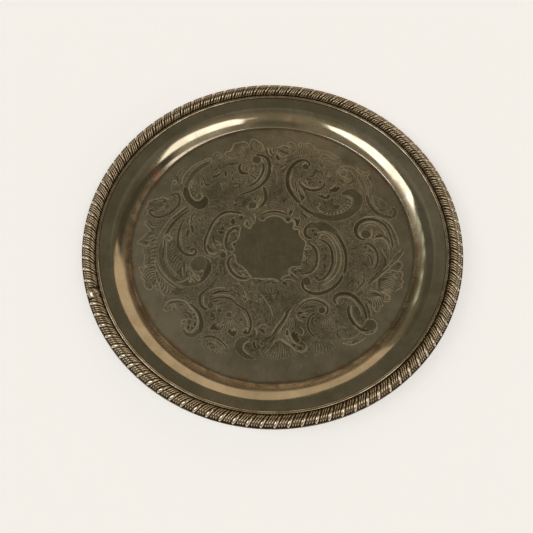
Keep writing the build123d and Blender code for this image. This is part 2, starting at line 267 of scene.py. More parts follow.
STROKES = """
# -- cartouche frame
L 1.1 -9.6,23.9 -7.4,24.3 -6.6,26 -4,27.9 0,29 4,28.8 7.8,27.2 9.6,25.4 10.8,23.6 12.6,22.9 14.6,24 15.4,26
L 0.9 -12.2,26.5 -11.4,24.8 -9.6,23.9
l 0.7 -9.5,29 -6,30.3 -2,31.6 2,31.8 6,31.2 10,29.7
d 1.0/1.3/0.9 -9.8,29.2 -6,31.7 -2,33.1 2,33.2 6,32.6 10.5,31
L 0.8 -10.5,30.8 -6,33.2 -2,34.5 2,34.6 6,34 11,32.4
o -9,26.4 1.0
o 12.6,26 1.6
L 1.0 -16.5,31 -15.5,28 -15,25.5 -16,22.4 -17.4,20.6 -18.6,17.4 -19.8,16.5 -22,17.5 -24.3,19.4 -23.4,22.5 -21.6,25
L 0.8 -19.5,27 -18.2,24.5 -17,22.5
L 0.7 -21,24 -20.4,21.5 -20.2,19.5
d 1.4 -22.4,22.6 -21.8,21 -20.6,19.6
L 1.1 15.4,26 16.4,24.8 17.9,23.2 18.3,21 17.2,18.8 17.2,17 18.5,16.7 21.8,16.6
L 0.8 15,28.5 16,31 17,34
F - 17.5,27.5 18.2,25 19.2,22.5 20,18.8 21.2,21 22.4,24 22.8,27.5 21,26 19.5,26.5
d 0.7 23,29.5 26,26
d 0.7 24.5,31.5 28,27.5
d 0.7 22.5,33.5 28.5,28.5
L 0.8 25.5,33.5 31,28.5
L 1.1 21.9,16.4 22.5,12.2 24.5,8.9 27.3,6 27.8,3.4 26.8,0 26.4,-4 25.9,-9 24.9,-13 24.6,-16
l 0.8 23.8,16.5 24.8,12 27,9 30.5,7.3
d 0.7 23.2,14 24.2,11 26.2,8.6
d 1.4/1.3/0.9 30.5,3.5 34,1 36.4,-4 37,-10 36,-16 33,-20.7 28,-23.2 24,-24
L 0.8 31,5.2 35.6,2 38.4,-4 38.8,-10 37.6,-17 34,-22.3 29,-25 24,-26
L 0.9 27,1.2 30.5,1.6 33,-1.5
L 0.9 26,-3.5 29,-1 31.5,-2
d 1.1 26.8,-2.8 28.9,-4.8
d 1.0 25.8,-5.4 27.9,-8
d 1.0 26.5,-9.5 28.6,-11.5
d 1.2 24.9,-13.5 26,-14
d 1.0 27.6,-13.2 29,-16
d 0.9 30,-7.5 31.2,-8
L 0.9 25.5,-5 27.5,-9 26.6,-12
L 1.1 24.4,-16.2 22,-17.6 18,-17.6 15,-19 13.4,-21.5 14.7,-24.2 12,-26 9,-27 7.4,-29.6
L 0.9 15.6,-19.8 14.9,-22 17,-23.6 19.5,-26 22,-28
L 0.9 18,-21 21,-19.4 25,-18.7
d 1.0 18.6,-23.5 19.3,-21.4
d 1.2 22.6,-21 24.4,-22.5
d 0.8 16.5,-25.5 18.5,-27.5
d 0.7 12.4,-27.6 14,-28
L 0.8 9,-31 12,-29.2 16,-29.5 20,-31
F - 8.5,-33.5 9.8,-31 11.6,-31.5 13.2,-34.5 10.8,-34
L 1.1 6.5,-31 4,-30 0,-28.9 -6,-29.3 -12,-28.9 -16,-29.2 -17.3,-27 -18.8,-25.4 -21,-22.2 -23.5,-20 -25.5,-18 -28,-16.8 -30,-13.5 -30.6,-9.5 -32,-8.2 -34,-8
L 1.0 -11.5,-33 -8.5,-30.2 -6,-30
L 1.0 -6,-33.4 -2.5,-30.3 0,-30
L 0.9 -1,-33 2.5,-31.2 5,-31.6
d 1.2 -12.4,-33.2 -9.6,-31.2 -7.2,-30.8
d 1.2 -5.6,-33.2 -2,-31
d 1.0 0.2,-31.8 3.2,-32.2
L 0.9 -15,-31 -16.5,-33.5 -14,-34.5
d 1.0 -17,-31 -14.8,-30.3 -13.8,-32
d 1.2/1.6/1.1 -34.3,-9.6 -36.4,-14 -35.6,-19 -32,-25 -27,-28.4 -22.5,-29.5 -20.2,-28.6
L 0.9 -33.4,-8 -36,-10.2 -38.1,-14.5 -37.2,-20 -33,-26.6 -28,-30.3 -22,-31.4 -18,-30
L 0.8 -33,-11 -34.3,-14.5 -33.6,-18.8 -30.4,-23.8 -26,-27 -22,-27.6
L 1.3 -24.5,-25.5 -20,-26.8 -18.4,-25.5
L 1.2 -27,-23.2 -23,-22.2 -20.6,-23
d 1.0 -31.4,-16.6 -30,-18.4 -28,-18.6
d 1.1 -26.4,-21 -24.5,-21.8 -23,-22
d 1.0 -26.6,-25 -25,-26.4
d 1.2 -21.6,-26 -19.6,-26.4
o -23.5,-24.3 0.5
o -22.3,-24.8 0.5
L 1.1 -36.5,-5.2 -33,-5.8 -31.6,-2.8 -33.6,0.4 -32.8,2.8 -30,5.1 -28.3,9 -27.7,14 -27,18
L 1.0 -44,-4 -40,-5 -36.5,-5.2
d 1.3/1.4/0.9 -29.6,16.6 -33,16.2 -36,13.4 -38,9 -39,3 -38,-1 -36.4,-3.6
L 0.8 -28,18.6 -33,18.3 -37.5,15 -40,9.6 -40.7,3 -39.8,-1.6 -38,-4.6
o -29.6,15.6 1.0
o -33.6,-3.2 0.9
L 0.8 -30,13.6 -32.8,13.8 -35,11.4 -36.6,7.6 -37,3.4
d 0.9 -35,10.4 -33.6,12
d 0.8 -33,10 -31.6,12
o -30.6,6.6 1.0
o -33,5.4 0.9
F - -34.4,1.4 -33,3.2 -31,2.6 -30.6,1 -33,0.4
# -- upper left scroll
O -16,84 3.9
D 1.6/3.4/3.2/2.4/1.3 -17,89.2 -13.5,88.9 -10,88 -7,86 -5,82 -4,77 -4.5,72 -6,66 -9,61 -13,57 -18,53.5 -23,51 -29,48.5
L 1.0 -15.5,87.8 -13,86.6 -11.2,83.5 -9.2,79.5 -8.4,74 -9.6,68 -12,63.4 -15.5,60
d 1.6/1.9/1.5/1.0 -10,80.7 -9.3,76 -10,72 -11.6,68 -14,63 -17,60.3 -20,58.3 -23,57.2
L 0.8 -11.8,76 -12,71 -14.3,66 -17,62.6 -20,60.6
d 0.8 -17,78.2 -16,76.5
d 0.8 -13.6,78.4 -12.6,76.8
d 1.1 -17.6,73.5 -16,71.6 -13.6,70.4
L 0.8 -18,77 -18.4,74.5 -17,72.5
D 1.5 -20.8,68.8 -16,65.2
d 0.8 -22.5,64 -21.5,60.5
d 0.8 -20.5,63 -19.6,60.6
d 0.7 -14.6,67.8 -13.4,68.6
F - -32,75.5 -31,79 -29,79.5 -29.6,75 -28,72.5 -26,71.4 -23,70.6 -23,69.4 -27,68.6 -30,69.4 -31.4,72
V L 6 0.8 | -28.5,72.2 -26.5,71.2 -24,70.6 | -27,79.5 -23.5,79 -19.8,75.5 | 0.6
V d 5 0.6 | -28,72.8 -26,71.6 -24,71 | -25.6,79.2 -22.4,78 -20.6,76 | 0.6
F - -37.2,67.6 -35.8,66 -34.2,62 -35,61.5 -36.6,63.6
O -30,62.4 1.3
d 0.9 -30.5,60.5 -30,57 -30.2,55
d 0.9 -35.5,59 -33,59.3 -31,59.6
d 0.9 -35.4,56 -33.6,54.8
L 0.8 -34.5,58 -33.5,56.8 -32.4,57.8
F - -43.2,71.6 -42,72.6 -41.3,70 -41.2,67.3 -42.6,66.6 -43.4,68.6
F - -55,64.4 -51,65 -47.5,67.2 -46.4,69.2 -48.6,69.4 -51.5,67.6
L 0.8 -50.5,68 -48,70.6 -46,73.5
L 0.7 -52,68 -50,71.5 -48,75
d 0.8 -51,69.2 -49,72.4
d 0.8 -47,70.6 -45.4,73
d 1.0 -53,72 -51,73.6 -48,76
o -55,76 0.8
F - -63.2,59.6 -62.6,57 -61.4,56.2 -61.2,58 -61.8,60.4
F - -60.8,60.6 -59.6,57.2 -57.5,56 -55,57.6 -56,58.6 -58.4,58.4 -59.4,61
V d 7 0.7 | -48,60 -45,62 -41,62.4 | -46.4,50.5 -42.5,51.5 -38.6,54 | 0.3
V L 6 0.6 | -47,60 -44,62 -41,62 | -45,51 -41.6,52.4 -38.6,55 | 0.3
T d 70 0.55 2.0 20 | -58,60 -40,66 -36,52 -46,45 -58,48
T d 36 0.6 2.0 60 | -50,78 -36,78 -34,70 -48,70
o -50,52.6 0.8
o -51.5,55.6 0.7
d 0.9 -62,65 -60.4,61.6
d 0.9 -66.5,65 -65.6,61
l 0.7 -60,79 -65,76 -70,71 -73,66
d 1.2/1.6/1.0 -41,79.5 -38,79 -35,79.6 -32,80.6
d 0.9 -46,79.4 -42,78.4
# -- left upper volute
Q - -55.5,81 -60,80.2 -65.5,76.6 -70.5,71.5 -74.5,65 -76.8,59 -77,54.5 -74,53 -73.4,57 -71.8,62 -67.8,68.3 -63,73.8 -58.5,77.2
L 0.9 -55,83.8 -58.7,83.9 -62,82.1 -67.6,78.8 -73.1,73.8 -77.8,67.4 -79.4,61.5 -79.8,56
l 0.8 -54,82 -59,81.6 -63,79.8 -68.4,76 -73,71
F - -76.6,55 -78.1,50.5 -77.2,46 -74,41 -69,36.2 -64.6,33.7 -60,34.2 -56.7,38 -55.7,42 -57,45 -58.8,47 -60.4,45 -62.2,42.4 -65.9,41.2 -69.6,43.6 -72,48 -73.4,52
L 1.0 -71,62.5 -73,56.8 -72.6,51.6 -70.6,45.8 -66.2,42.2 -62.6,43 -60.9,45.6 -61.6,48.4 -63.6,49.4
L 0.7 -69.3,62 -71.2,56.8 -70.8,52
o -71.4,52.2 0.75
o -70.7,49.6 0.8
o -69.1,47.3 0.8
o -67.2,45.5 0.8
o -64.6,45.2 0.8
o -63.6,47.4 0.7
o -69,50.6 0.6
o -66.6,50.4 0.6
o -65,51.4 0.6
R -65.8,46.8 0.7
R -68.4,44.6 0.6
L 0.7 -88,59.6 -86.6,61.6 -84.6,60.8 -84.4,58.6 -86.2,57.8
R -85.8,59 1.7
l 0.7 -84.8,63 -84.2,68 -81.6,72.4 -78.6,74
l 0.7 -82.4,60 -81.6,66 -79.4,70.6 -76.6,72
d 1.0 -84.8,65 -82.8,60.6
d 1.0 -80.8,57.6 -79.6,55.8
d 1.0 -83.4,53.2 -82.2,51.6
L 0.7 -88.2,57 -88,52 -87.6,50
l 0.6 -82,52 -79.8,49.5
l 0.6 -81,50.4 -79,47.4
# -- left middle curl
D 1.5/1.9/2.2/2.1/2.0/1.6 -86.5,46.9 -84,48.5 -81.5,46.7 -80.3,43 -80.8,38 -84,33 -88,29 -93,26 -98,25 -102,26.3 -105,29 -104.6,31.2 -102.8,31.6 -101.3,30.3
o -86.6,47 1.1
L 0.9 -103,29.6 -102.6,28.2 -99.6,27.2
L 1.1 -109,33 -107,36.4 -107,40 -103.4,41.6 -98,42.8 -96,44.4 -93.6,44.4 -91.6,42.8 -89,42.8
L 0.8 -108.6,33 -106.4,29.4 -107.6,26
F - -94,41.6 -92.4,39.6 -90.4,39 -91.4,41 -93,42.8
F - -95,40.6 -93.2,40.6 -92.6,38.8 -94.4,39
d 1.0 -105,36.6 -103,38
d 1.1 -97.8,35.8 -95,37.2
L 0.8 -97,33.4 -93.4,34.6 -92.6,37
L 0.7 -100,40.4 -96.4,41
d 0.8 -101.6,41 -98.6,41.4
L 0.8 -100,30.6 -96,31.8 -92,33.6
l 0.6 -99,28.4 -94,29.4 -89.4,32.4 -86,36.4 -84.4,41
T d 24 0.6 1.8 20 | -100,40 -88,42 -84,36 -92,30 -101,31
# -- big left scroll
d 1.4 -73.2,34.6 -78,30 -81,27 -84.6,23.8
L 0.8 -74.5,36 -80,31 -85.5,25.5 -89,20.5 -92.5,14 -96,7
D 1.6/2.3/2.8/2.5 -70.8,32.8 -76,28.6 -80,24.6 -83.5,20.5 -86.5,15.5 -89.4,9.4
D 1.1 -82.5,15.5 -84,12.5 -85.6,9
L 0.9 -90.2,8.6 -91,3 -91,-4
Q - -90.2,8 -92.6,3 -94,-3 -94,-9 -93.2,-15 -91,-21 -87,-27 -82,-31.8 -76,-35.4 -69.5,-37.6 -63,-37 -57.5,-34.4 -53,-30 -50.2,-24.4 -49.6,-18.6 -51.8,-13.8 -55.6,-11 -60,-10.6 -64,-12.4 -66.8,-16 -66.6,-20 -64,-23.2 -60,-24 -57,-22.4 -56,-25.6 -58.4,-29.6 -60,-33 -63,-30.4 -65.4,-34.4 -67.4,-30 -71,-33.6 -76,-31 -80.4,-28.4 -84.6,-23.6 -87.6,-18 -89.4,-12 -89.6,-4 -89.6,3
F - -50.2,-24.4 -49.8,-18.6 -52,-14.2 -55.8,-11.4 -53.6,-16 -54.4,-21.4 -55.6,-25 -57,-31 -60,-35 -54.6,-31.6
F - -90.4,6 -91.8,0 -91,-8 -90.8,-14 -89.4,-12 -89.6,-3 -89.8,3
L 1.0 -69.4,-20.6 -66,-23.6 -63.4,-26.4 -61,-28.4 -58.6,-26.4 -57,-22.8 -56.2,-24.8
L 1.0 -65,-25 -62.5,-29.6 -60.6,-31.6 -58.4,-32 -59.6,-28.6
L 1.1 -77.6,-33.6 -74.6,-34.2 -70.4,-32.6 -68.4,-30.4 -66.4,-34 -65.4,-31
L 1.0 -64.4,-27.6 -66,-30.8 -64.4,-31.6 -62.4,-33.6 -61.4,-31
L 0.9 -68.4,-25 -66.6,-27.6 -67.2,-30
d 1.2 -58.8,-27.2 -57,-25.2
d 0.9 -62.6,-31.4 -61.4,-33.6
L 1.0 -89.4,8.6 -86,7.2 -84,5.4 -86.4,3 -88.6,5
L 0.7 -88.4,3 -87.8,-5 -87.4,-12 -85.6,-18 -82.6,-22.6 -78.6,-26.8 -75.6,-29
V d 9 0.8 | -86,-1 -84.6,-10 -82,-16 -77.6,-22 | -83.6,2 -80.6,-6 -78,-11 -75,-16 | 0.4
V L 8 0.7 | -85.4,-5 -83.6,-12 -80.6,-18 -77,-24 | -82.4,0 -79.6,-8 -76.6,-13 -74,-18 | 0.4
T d 60 0.7 2.6 100 | -86,2 -80,4 -74,-12 -70,-22 -74,-29 -82,-21 -87,-10
d 1.1/1.3/0.9 -75,-20.4 -74.6,-25 -73.4,-29.6
d 1.0 -72.6,-16 -71.8,-21 -71.4,-26
L 0.8 -73.8,-19 -73.2,-25 -72,-29.4
L 0.8 -70.6,-18 -70.4,-24 -70.4,-28
d 1.2 -70,-25 -69.4,-28.4
# -- inner left stem
D 1.3/2.0/2.4/2.4/2.0/1.6 -74.8,24 -77.5,18 -79,11 -79.2,4 -78,-2 -75,-6.5 -70.6,-9.4 -66.5,-9.8 -63.6,-8 -63.6,-5 -65.6,-3.8 -67.6,-5
L 1.0 -69.4,-6.4 -67.6,-8.2 -65,-7.6 -64.8,-6
o -67,-4.8 1.1
d 1.2 -71,-3.4 -69,-2.2
D 1.2 -66,31 -68.6,27 -69,23 -67,20
D 1.2 -70.8,25.4 -73,21.2
d 1.0 -66.4,4 -64.6,1.4 -63.4,1.2
F - -71.4,14 -72.9,10.4 -72,6.4 -70.6,8.6 -69.6,12.4
F - -69.4,18.6 -67.6,17.6 -66.2,13.4 -66.6,10.4 -68.4,12.6 -69,15.6
F - -63.8,24.8 -62,24 -60.8,21.4 -62.4,22
o -56.8,25.4 0.9
L 0.8 -70,27 -70.6,21 -70.4,17
L 0.7 -76.4,12 -76.6,5 -75.6,0 -73.6,-3.6
T d 95 0.65 1.4 45 | -66,20 -56,34 -52,26 -58,8 -58,-6 -63,-3 -66,4 -64,12
T L 40 0.5 1.0 45 | -66,20 -56,34 -52,26 -58,8 -58,-6 -63,-3 -66,4 -64,12
# -- left inner C
D 1.2/1.7/2.3/2.1/1.7/1.8/1.8/1.4 -27.2,25.8 -25.6,28 -28,31 -32,31.6 -36,32.1 -40,31.6 -44,29.5 -48,25.6 -51.5,20 -54,13 -56,6 -56.6,0 -55.4,-5 -52.8,-9
o -27,26.6 1.7
L 0.9 -29.6,27.4 -28.4,29 -26.6,29.4 -25.2,27.4
L 0.8 -30,29.4 -35,30 -40,29.2 -43.6,27.4 -47,24 -50,18.6 -52.4,12 -54.2,5 -54.4,0
d 1.7 -54,0 -52,-4 -49,-5.6
L 1.0 -55,-3 -52.4,-7 -48.6,-8.4 -45.4,-6.6
l 0.7 -53.4,-9.6 -49,-11 -45,-10 -42,-7
F - -36,22.6 -34.4,25.4 -32.6,25 -31.8,22 -33,20.2 -35,20.6
D 1.3/0.8 -38.4,16.6 -35,18.8 -32,19.6 -29,19.4
o -38.6,20 1.1
F - -42.6,19.4 -43.2,16.6 -42.4,14.4 -40.4,14.8 -41.4,17
F - -46.6,13.4 -44.6,10.6 -41.6,11 -39.8,12.8 -42,13.2 -44,13.2
d 0.9 -48.6,20 -46,23.4 -44,25.4
d 0.9 -46.6,19 -44.4,22
L 0.7 -47.8,21 -45.6,24
d 1.2/1.6/1.0 -50,10 -49.4,5 -47.4,1.4
d 1.0 -45.8,8.6 -43.8,7.4 -42.6,4
L 1.0 -48.4,4 -45.4,3.6 -43.6,1.4 -41.4,0.8
L 0.9 -50.6,2 -49,-0.6 -47,-3
L 0.9 -47,0 -44,0.4 -42.6,-2
T d 26 0.6 2.0 70 | -50,16 -42,26 -40,16 -44,4 -50,4
O -40.8,-9 2.6
L 1.0 -44,-5.4 -41.6,-4.2 -39,-5.4 -37.6,-8 -38,-11
# -- lower left outer: ribs round the big scroll
L 0.8 -96,-13 -93,-21 -88,-28 -82,-33.6 -75,-37.8 -70,-39.8
L 0.8 -97.6,-14 -94.6,-22.6 -89.4,-30 -83,-36 -76,-40.4
d 0.7 -95,-20 -90.4,-27.6 -85,-33 -79,-37.6
d 1.0 -78,-39.6 -73,-40.6 -70,-39.6
V L 8 0.8 | -92,-27 -88,-33 -83,-38 -77,-42 | -95,-36 -90,-42 -86,-46 -78,-47 | 0.5
V d 7 0.8 | -91.4,-28.6 -87.4,-34.6 -82,-39.4 -77,-42.6 | -93.4,-37 -88.4,-43 -83,-46 -78,-46 | 0.5
V d 4 1.1 | -79.6,-42 -77.4,-40.6 -75.6,-40 | -76.8,-46 -73.6,-45 -71.6,-44 | 0.1
# left leaf fringe
L 1.1 -107.6,22 -108,18.4 -105.6,15.4 -102.6,12.6 -104.6,10.4 -107.4,7 -110,4.2 -112.8,0.4 -109,-1 -104.6,-2.4 -101,-1.4
L 1.0 -107,-4.6 -107.6,-8 -105.6,-10.4 -105.4,-15 -105.4,-19.4 -103,-21.4 -108.8,-22 -108.6,-24.4
L 1.0 -109.2,-22 -107.6,-26.4 -105.6,-28.4 -107,-31 -104,-33.4 -104,-36.4 -101.8,-40 -99,-41.6 -96.6,-40.4 -96.4,-38 -98.4,-37.4
L 0.9 -95,-37 -93.4,-40.4 -90.4,-41.6 -88.4,-44.6 -86.6,-46.6 -87.6,-48.6
d 1.3/0.8 -105,21.4 -103.6,19.6 -102,17.6 -100.4,17.2
d 1.0 -105,10.4 -103,9.6 -101.6,8.6
d 1.2 -102.4,14.2 -100,13.4
L 0.8 -103.6,16.6 -101.4,15.4 -99,15
L 0.8 -104,5.6 -101,6.6 -98,8.6
L 0.8 -106,3 -101.6,3.4 -97,6.4
L 0.8 -103,1.4 -99,3.4 -95.6,6.4
d 1.1 -107.4,1.6 -105,0.6 -103,1
d 0.9 -101,2 -98,4.6
L 0.7 -100,-4 -98.4,-1 -96.6,3
V L 7 0.8 | -96,2 -95.6,-6 -95.6,-13 -94.6,-20 | -106,-6 -104,-12 -104,-17 -103.6,-23 | -0.8
V d 7 0.8 | -96.4,0 -96.2,-8 -95.6,-15 -94.4,-22 | -104.4,-8.4 -102.6,-13 -102.6,-19 -101.4,-25 | -0.8
V L 7 0.8 | -96.6,-19 -95,-25 -92.6,-30 | -107,-25 -104.6,-31 -99,-36.4 | -0.8
V d 6 0.8 | -96.4,-21 -94.6,-27 -92,-32 | -104.8,-27.6 -102,-33 -96.6,-36 | -0.8
o -98.2,-39 0.8
L 0.8 -94.6,-22 -94.8,-28 -92.6,-35 -90,-40
d 1.2/0.9 -94.6,-25 -93.6,-30 -91.6,-34
V l 6 0.6 | -93,24 -95,17 -97,11 | -103.6,22 -102,17 -100,13 | 0.3
# -- lower left curl N
L 1.1 -85.6,-56 -84.6,-53 -81.6,-50.6 -76.2,-49.5 -70.4,-50.4 -67,-53 -64.6,-56
d 0.9 -82.6,-54 -80,-51.8 -75,-51 -70,-51.8
L 0.8 -86,-55.4 -86.4,-58 -84,-60 -81.4,-58.4
L 0.8 -82,-56.4 -80.4,-54 -78,-53.4 -76,-55.4
L 0.7 -79.6,-59 -79,-56 -76,-56.4 -74.4,-58.6
d 0.7 -78.6,-57 -77,-59
d 0.9 -74,-53.4 -71,-54
D 1.5/2.2/2.8/3.6/3.4 -65.8,-52.6 -61,-56.2 -57.2,-61 -55.2,-67 -54.9,-72 -56.4,-77.4
Q - -56.4,-76 -58,-80 -62,-81.5 -66.4,-80 -69.4,-76 -68,-74.8 -66.4,-77 -63.6,-78.2 -60.4,-77.4 -58.4,-74.4
L 1.1 -65.8,-55 -61.4,-59.4 -58.7,-64 -58,-69 -59.3,-73.4 -62.2,-76.6 -64.8,-76.8 -67.4,-74.8 -68.2,-72
F - -62.4,-60.6 -61,-60.8 -60.4,-62.6 -61.4,-62.8
F - -60.8,-64 -59.6,-64.6 -59.8,-66.6 -61,-66.4
F - -61,-69 -59.4,-69 -59.4,-71.6 -61,-71.4
F - -66.4,-72.6 -65,-71 -64,-73 -65.4,-75
F - -62.8,-72.4 -60.8,-73 -61.8,-75 -63,-74.6
O -65,-68.4 2.1
R -68.4,-68.4 2.2
L 0.8 -71,-66 -70.8,-71 -69,-73.4
d 1.3 -67.4,-60 -64.8,-62 -63.8,-64.6
d 0.9 -69,-62.4 -66.4,-64.6
T d 16 0.6 1.8 140 | -70,-58 -64,-58 -61,-64 -66,-66 -71,-64
# -- O scroll
d 1.0 -44.6,-30 -46.6,-33 -49,-36.6 -52,-39.6
D 1.4/2.1/2.4/2.1/1.5 -50,-38 -54,-41.4 -57,-45 -57.6,-49 -56.4,-53.6 -53.4,-56.8 -50.8,-57.4
O -48.5,-53.9 2.5
L 1.1 -54.2,-45.4 -54.6,-49 -53.8,-53 -51.8,-54.8 -50.4,-53
D 2.2/2.0/1.0 -49.4,-47 -46.2,-43.4 -41.4,-41.4 -37,-41.2 -33.6,-42
L 1.0 -51.4,-42.6 -47.4,-39.4 -42,-38 -37,-38.4
L 0.8 -48.6,-45 -44,-44.4 -38,-44.2 -33,-45 -29,-47.6
D 1.4/1.7/1.5/1.7/1.8/1.4 -50,-49.8 -47,-48 -42,-46.7 -36,-46.7 -31.4,-48.6 -28,-52 -22.8,-55.2 -20,-57.4 -17.2,-62 -15.6,-68 -16,-73 -17.6,-76.6 -20.6,-76.8 -21.4,-74.8
o -19.4,-75.4 1.2
L 1.0 -20.6,-72.6 -18.4,-72.6 -17.8,-74.6
L 0.8 -24,-58 -20.6,-62 -18.2,-67 -18,-71
d 1.0 -49,-51.4 -46,-50.2 -42,-49.4
D 1.3/1.5/1.0 -43.8,-56.2 -42.4,-53.2 -39,-51.4 -35,-51.4
O -41.2,-58 1.9
L 0.9 -43.8,-57 -43.4,-54.6 -41.4,-53
O -33.4,-61.4 2.3
d 0.9 -48,-60 -45.4,-58.6
d 0.9 -52.4,-60.4 -50,-60.6
O -46.4,-62.4 2.3
d 1.2 -48.6,-65.4 -46,-65.8 -44,-64
F - -47.8,-74.6 -47,-71 -44.6,-69.2 -42.4,-69 -44,-71.4 -41.4,-70.4 -39.6,-69 -40.4,-71.8 -37.4,-70.4 -38.4,-73 -41,-74.8 -44.6,-74.4
L 0.8 -42.4,-72.6 -40.6,-69.6 -38.4,-67
L 0.7 -40.4,-73 -38,-69.6
V d 6 0.8 | -35.4,-66.6 -33.4,-67 -31.4,-66.6 | -39.6,-73 -34,-75 -28,-72 | -0.3
V L 6 0.8 | -34.8,-66 -33,-66.4 -30.6,-65.6 | -37.8,-74 -33,-74 -27,-70 | -0.3
F - -34,-75.6 -32,-73.4 -30.4,-75.4 -29,-72.4 -28,-75 -26.6,-74 -27,-77.4 -29,-79.6 -31.6,-78.4
L 0.8 -30,-75.6 -29,-72.8 -28.2,-75.4
V L 6 0.7 | -30.6,-64 -27.4,-66.6 -26,-69 | -27,-59.6 -22.6,-63.6 -21.6,-69 | 0.2
V d 5 0.6 | -30,-64.6 -27.6,-67 -26.6,-68.6 | -25.4,-61 -22.6,-64.8 -22,-68 | 0.2
o -23.6,-65.6 0.9
T d 40 0.6 0.8 0 | -54,-60 -50,-60 -49,-68 -49,-79 -53.5,-79
T d 30 0.6 0.8 0 | -40,-79 -30,-79 -28,-86 -34,-86
T L 30 0.5 0.8 0 | -54,-60 -50,-60 -49,-68 -49,-79 -53.5,-79
# -- bottom left arch R
D 1.0/1.9/1.4/0.9 -55.4,-82.6 -51,-80.6 -46,-80.2 -41,-82.2 -37,-85.4 -32.8,-89.8
d 1.1 -49,-86.8 -46.4,-86.2 -45,-87.4
d 1.1 -46,-89.4 -43.4,-88.6
d 0.9 -41.6,-86.8 -38.8,-88.6
l 0.8 -53.4,-84 -53.6,-88 -51,-90
L 0.7 -47,-84.4 -43.4,-85 -40.6,-87.4 -38,-90
l 0.7 -50,-88 -46.8,-91 -45.6,-94
l 0.7 -46,-91.4 -42.6,-92 -40.6,-95
l 0.7 -42.4,-90 -39.4,-92.4 -38.6,-95.6
V l 6 0.6 | -51,-84 -45,-84.4 -40,-87.6 | -52,-90 -45,-93.4 -37,-94.4 | 0.3
# -- bottom crescent
Q - -16.4,-82.2 -19,-80.4 -22.6,-80 -25.8,-82.4 -27.6,-86.4 -26.6,-91 -23.4,-94.8 -19,-97.4 -14.4,-98.4 -11.4,-97.6 -14,-95.6 -17.6,-93.6 -20.4,-90.4 -20.8,-86.6 -19,-83.8
L 1.2 -15.6,-84 -18.4,-84 -20.6,-86.6 -20.6,-90 -18,-93 -15.6,-94.4
o -18.2,-86.8 1.0
o -16.6,-87.4 0.8
d 1.4 -13.4,-79.6 -15.4,-79.4 -17.6,-79.8
F - -14,-84.4 -12.4,-83.4 -11.4,-85 -11.8,-87.2 -10.4,-86.6 -11.6,-89 -13,-88.4 -13.2,-86.4
F - -7.6,-85.4 -6.6,-83.4 -5.6,-84 -5.8,-86.6
d 1.4 -5.4,-82.8 -3.6,-82.4
d 1.0 -4.6,-80.6 -2,-80
d 1.2 -13,-74 -12.6,-77 -15.4,-80
L 0.9 -12.4,-71 -11,-74.6 -10.4,-78.4
d 1.0 -9.4,-77.6 -10,-80.4
o -10.2,-81.2 0.8
o -10,-92 0.7
d 1.0 -9.6,-87 -7.6,-88.2
d 0.9 -5.4,-89.4 -4,-87.4
T d 34 0.8 1.8 50 | -17,-84 -3,-78 0,-84 -6,-90 -14,-92 -18,-90
F - -10,-72.6 -7.6,-72.4 -5,-73.4 -4,-77 -6.6,-75.6
L 0.8 -9.4,-71.6 -6.4,-69 -2,-69.6
l 0.8 -4.6,-73.4 -2.6,-71.4 0,-71
# -- stems and fan at the bottom middle
d 1.0/0.8 15,-52.6 12.4,-54.6 9.8,-58.6
d 0.9/1.4/1.1 16.6,-54 13.6,-57 12.4,-61 9.6,-66 6,-71 3.4,-76 -0.4,-80 -4,-82.6
L 0.9 11.2,-57 10.6,-61 7.6,-66 4,-71 1.4,-76
L 0.9 18,-54 15.6,-57.6 14,-62 11.4,-67.4 8.6,-72 6.4,-76.6
d 1.1 4.6,-77.6 2.6,-80 0.4,-82.4
d 0.9 3,-80.6 0.6,-83
V d 4 1.0 | 14,-62 16,-62 17.6,-63 | 13.6,-69.6 16.8,-72 19.8,-70 | 0.5
V L 4 0.8 | 13.4,-62 15.4,-62 17,-62.4 | 12.6,-70.6 15.4,-72.6 18.4,-71 | 0.5
V L 13 0.6 | 4,-82 6.4,-80.6 8.4,-80.4 11,-82 | -4,-93.6 4,-98 14,-97 22,-94 | 0.2
V d 12 0.6 | 4.6,-83 6.6,-82 8.6,-82 11,-84 | -2,-93.6 4.6,-96.6 13.4,-95.6 20,-93.4 | 0.2
d 1.0 1,-88.6 2.6,-87
# -- dark fruit at the bottom right of the middle
F - 17.4,-75 19,-73.8 20.2,-76 22,-75 22.2,-78.6 23.6,-81.6 22,-83.4 19.6,-82.4 17.6,-79.6 16.4,-77
F - 13,-72.6 14.2,-74 14.4,-76.6 13,-78 12.2,-75.6
F - 13.4,-80 15,-81.4 16.4,-84.4 20,-87.6 24,-89.4 27.4,-88.2 28,-85.4 26.6,-83.6 24.4,-84 23.8,-86.4 21.4,-85 18.6,-84.6 16.6,-82.6
R 21.5,-86.7 1.1
R 26,-86.4 1.1
R 16.6,-84 0.8
R 13.4,-72.4 0.7
R 13.6,-78.4 0.7
o 24.8,-83.6 1.0
L 1.1 29,-86 28.6,-89 25.6,-91 21.6,-90.4 17,-87.4 13.4,-83.4
L 0.9 15.4,-73 15.6,-78 18.4,-82.6 21.6,-85
L 0.9 24,-70.6 26.4,-73 25.6,-77 23,-76
d 0.9 23,-71.4 25.4,-73.4 24.4,-76.6
d 0.9 27,-80.6 28.6,-81.4
T d 20 0.7 1.4 120 | 24,-78 32,-76 30,-84 25,-82
# -- Q scroll
D 1.0/1.4/1.7/1.7 20,-56.4 26,-49.6 32,-46.9 37,-47.2 43,-50 45.6,-54 45,-57.4 43,-59
O 41,-55.4 2.7
L 1.0 43.6,-51.6 44.6,-54.6 43.4,-57.6 41,-59
L 0.8 22,-50.6 27.4,-46.8 33,-44.9 39,-45.4 45,-48.6 48,-53
d 1.4/1.1 26.4,-54.2 31,-52.7 36,-52.6
d 1.0 28,-57 31.4,-56 34.4,-56.4
F - 21,-59 23,-57 26,-57.6 24,-59.4
F - 24,-62.4 26,-60.6 28.6,-62 26.6,-63
L 0.9 20,-60 22.6,-64 26.4,-65.6
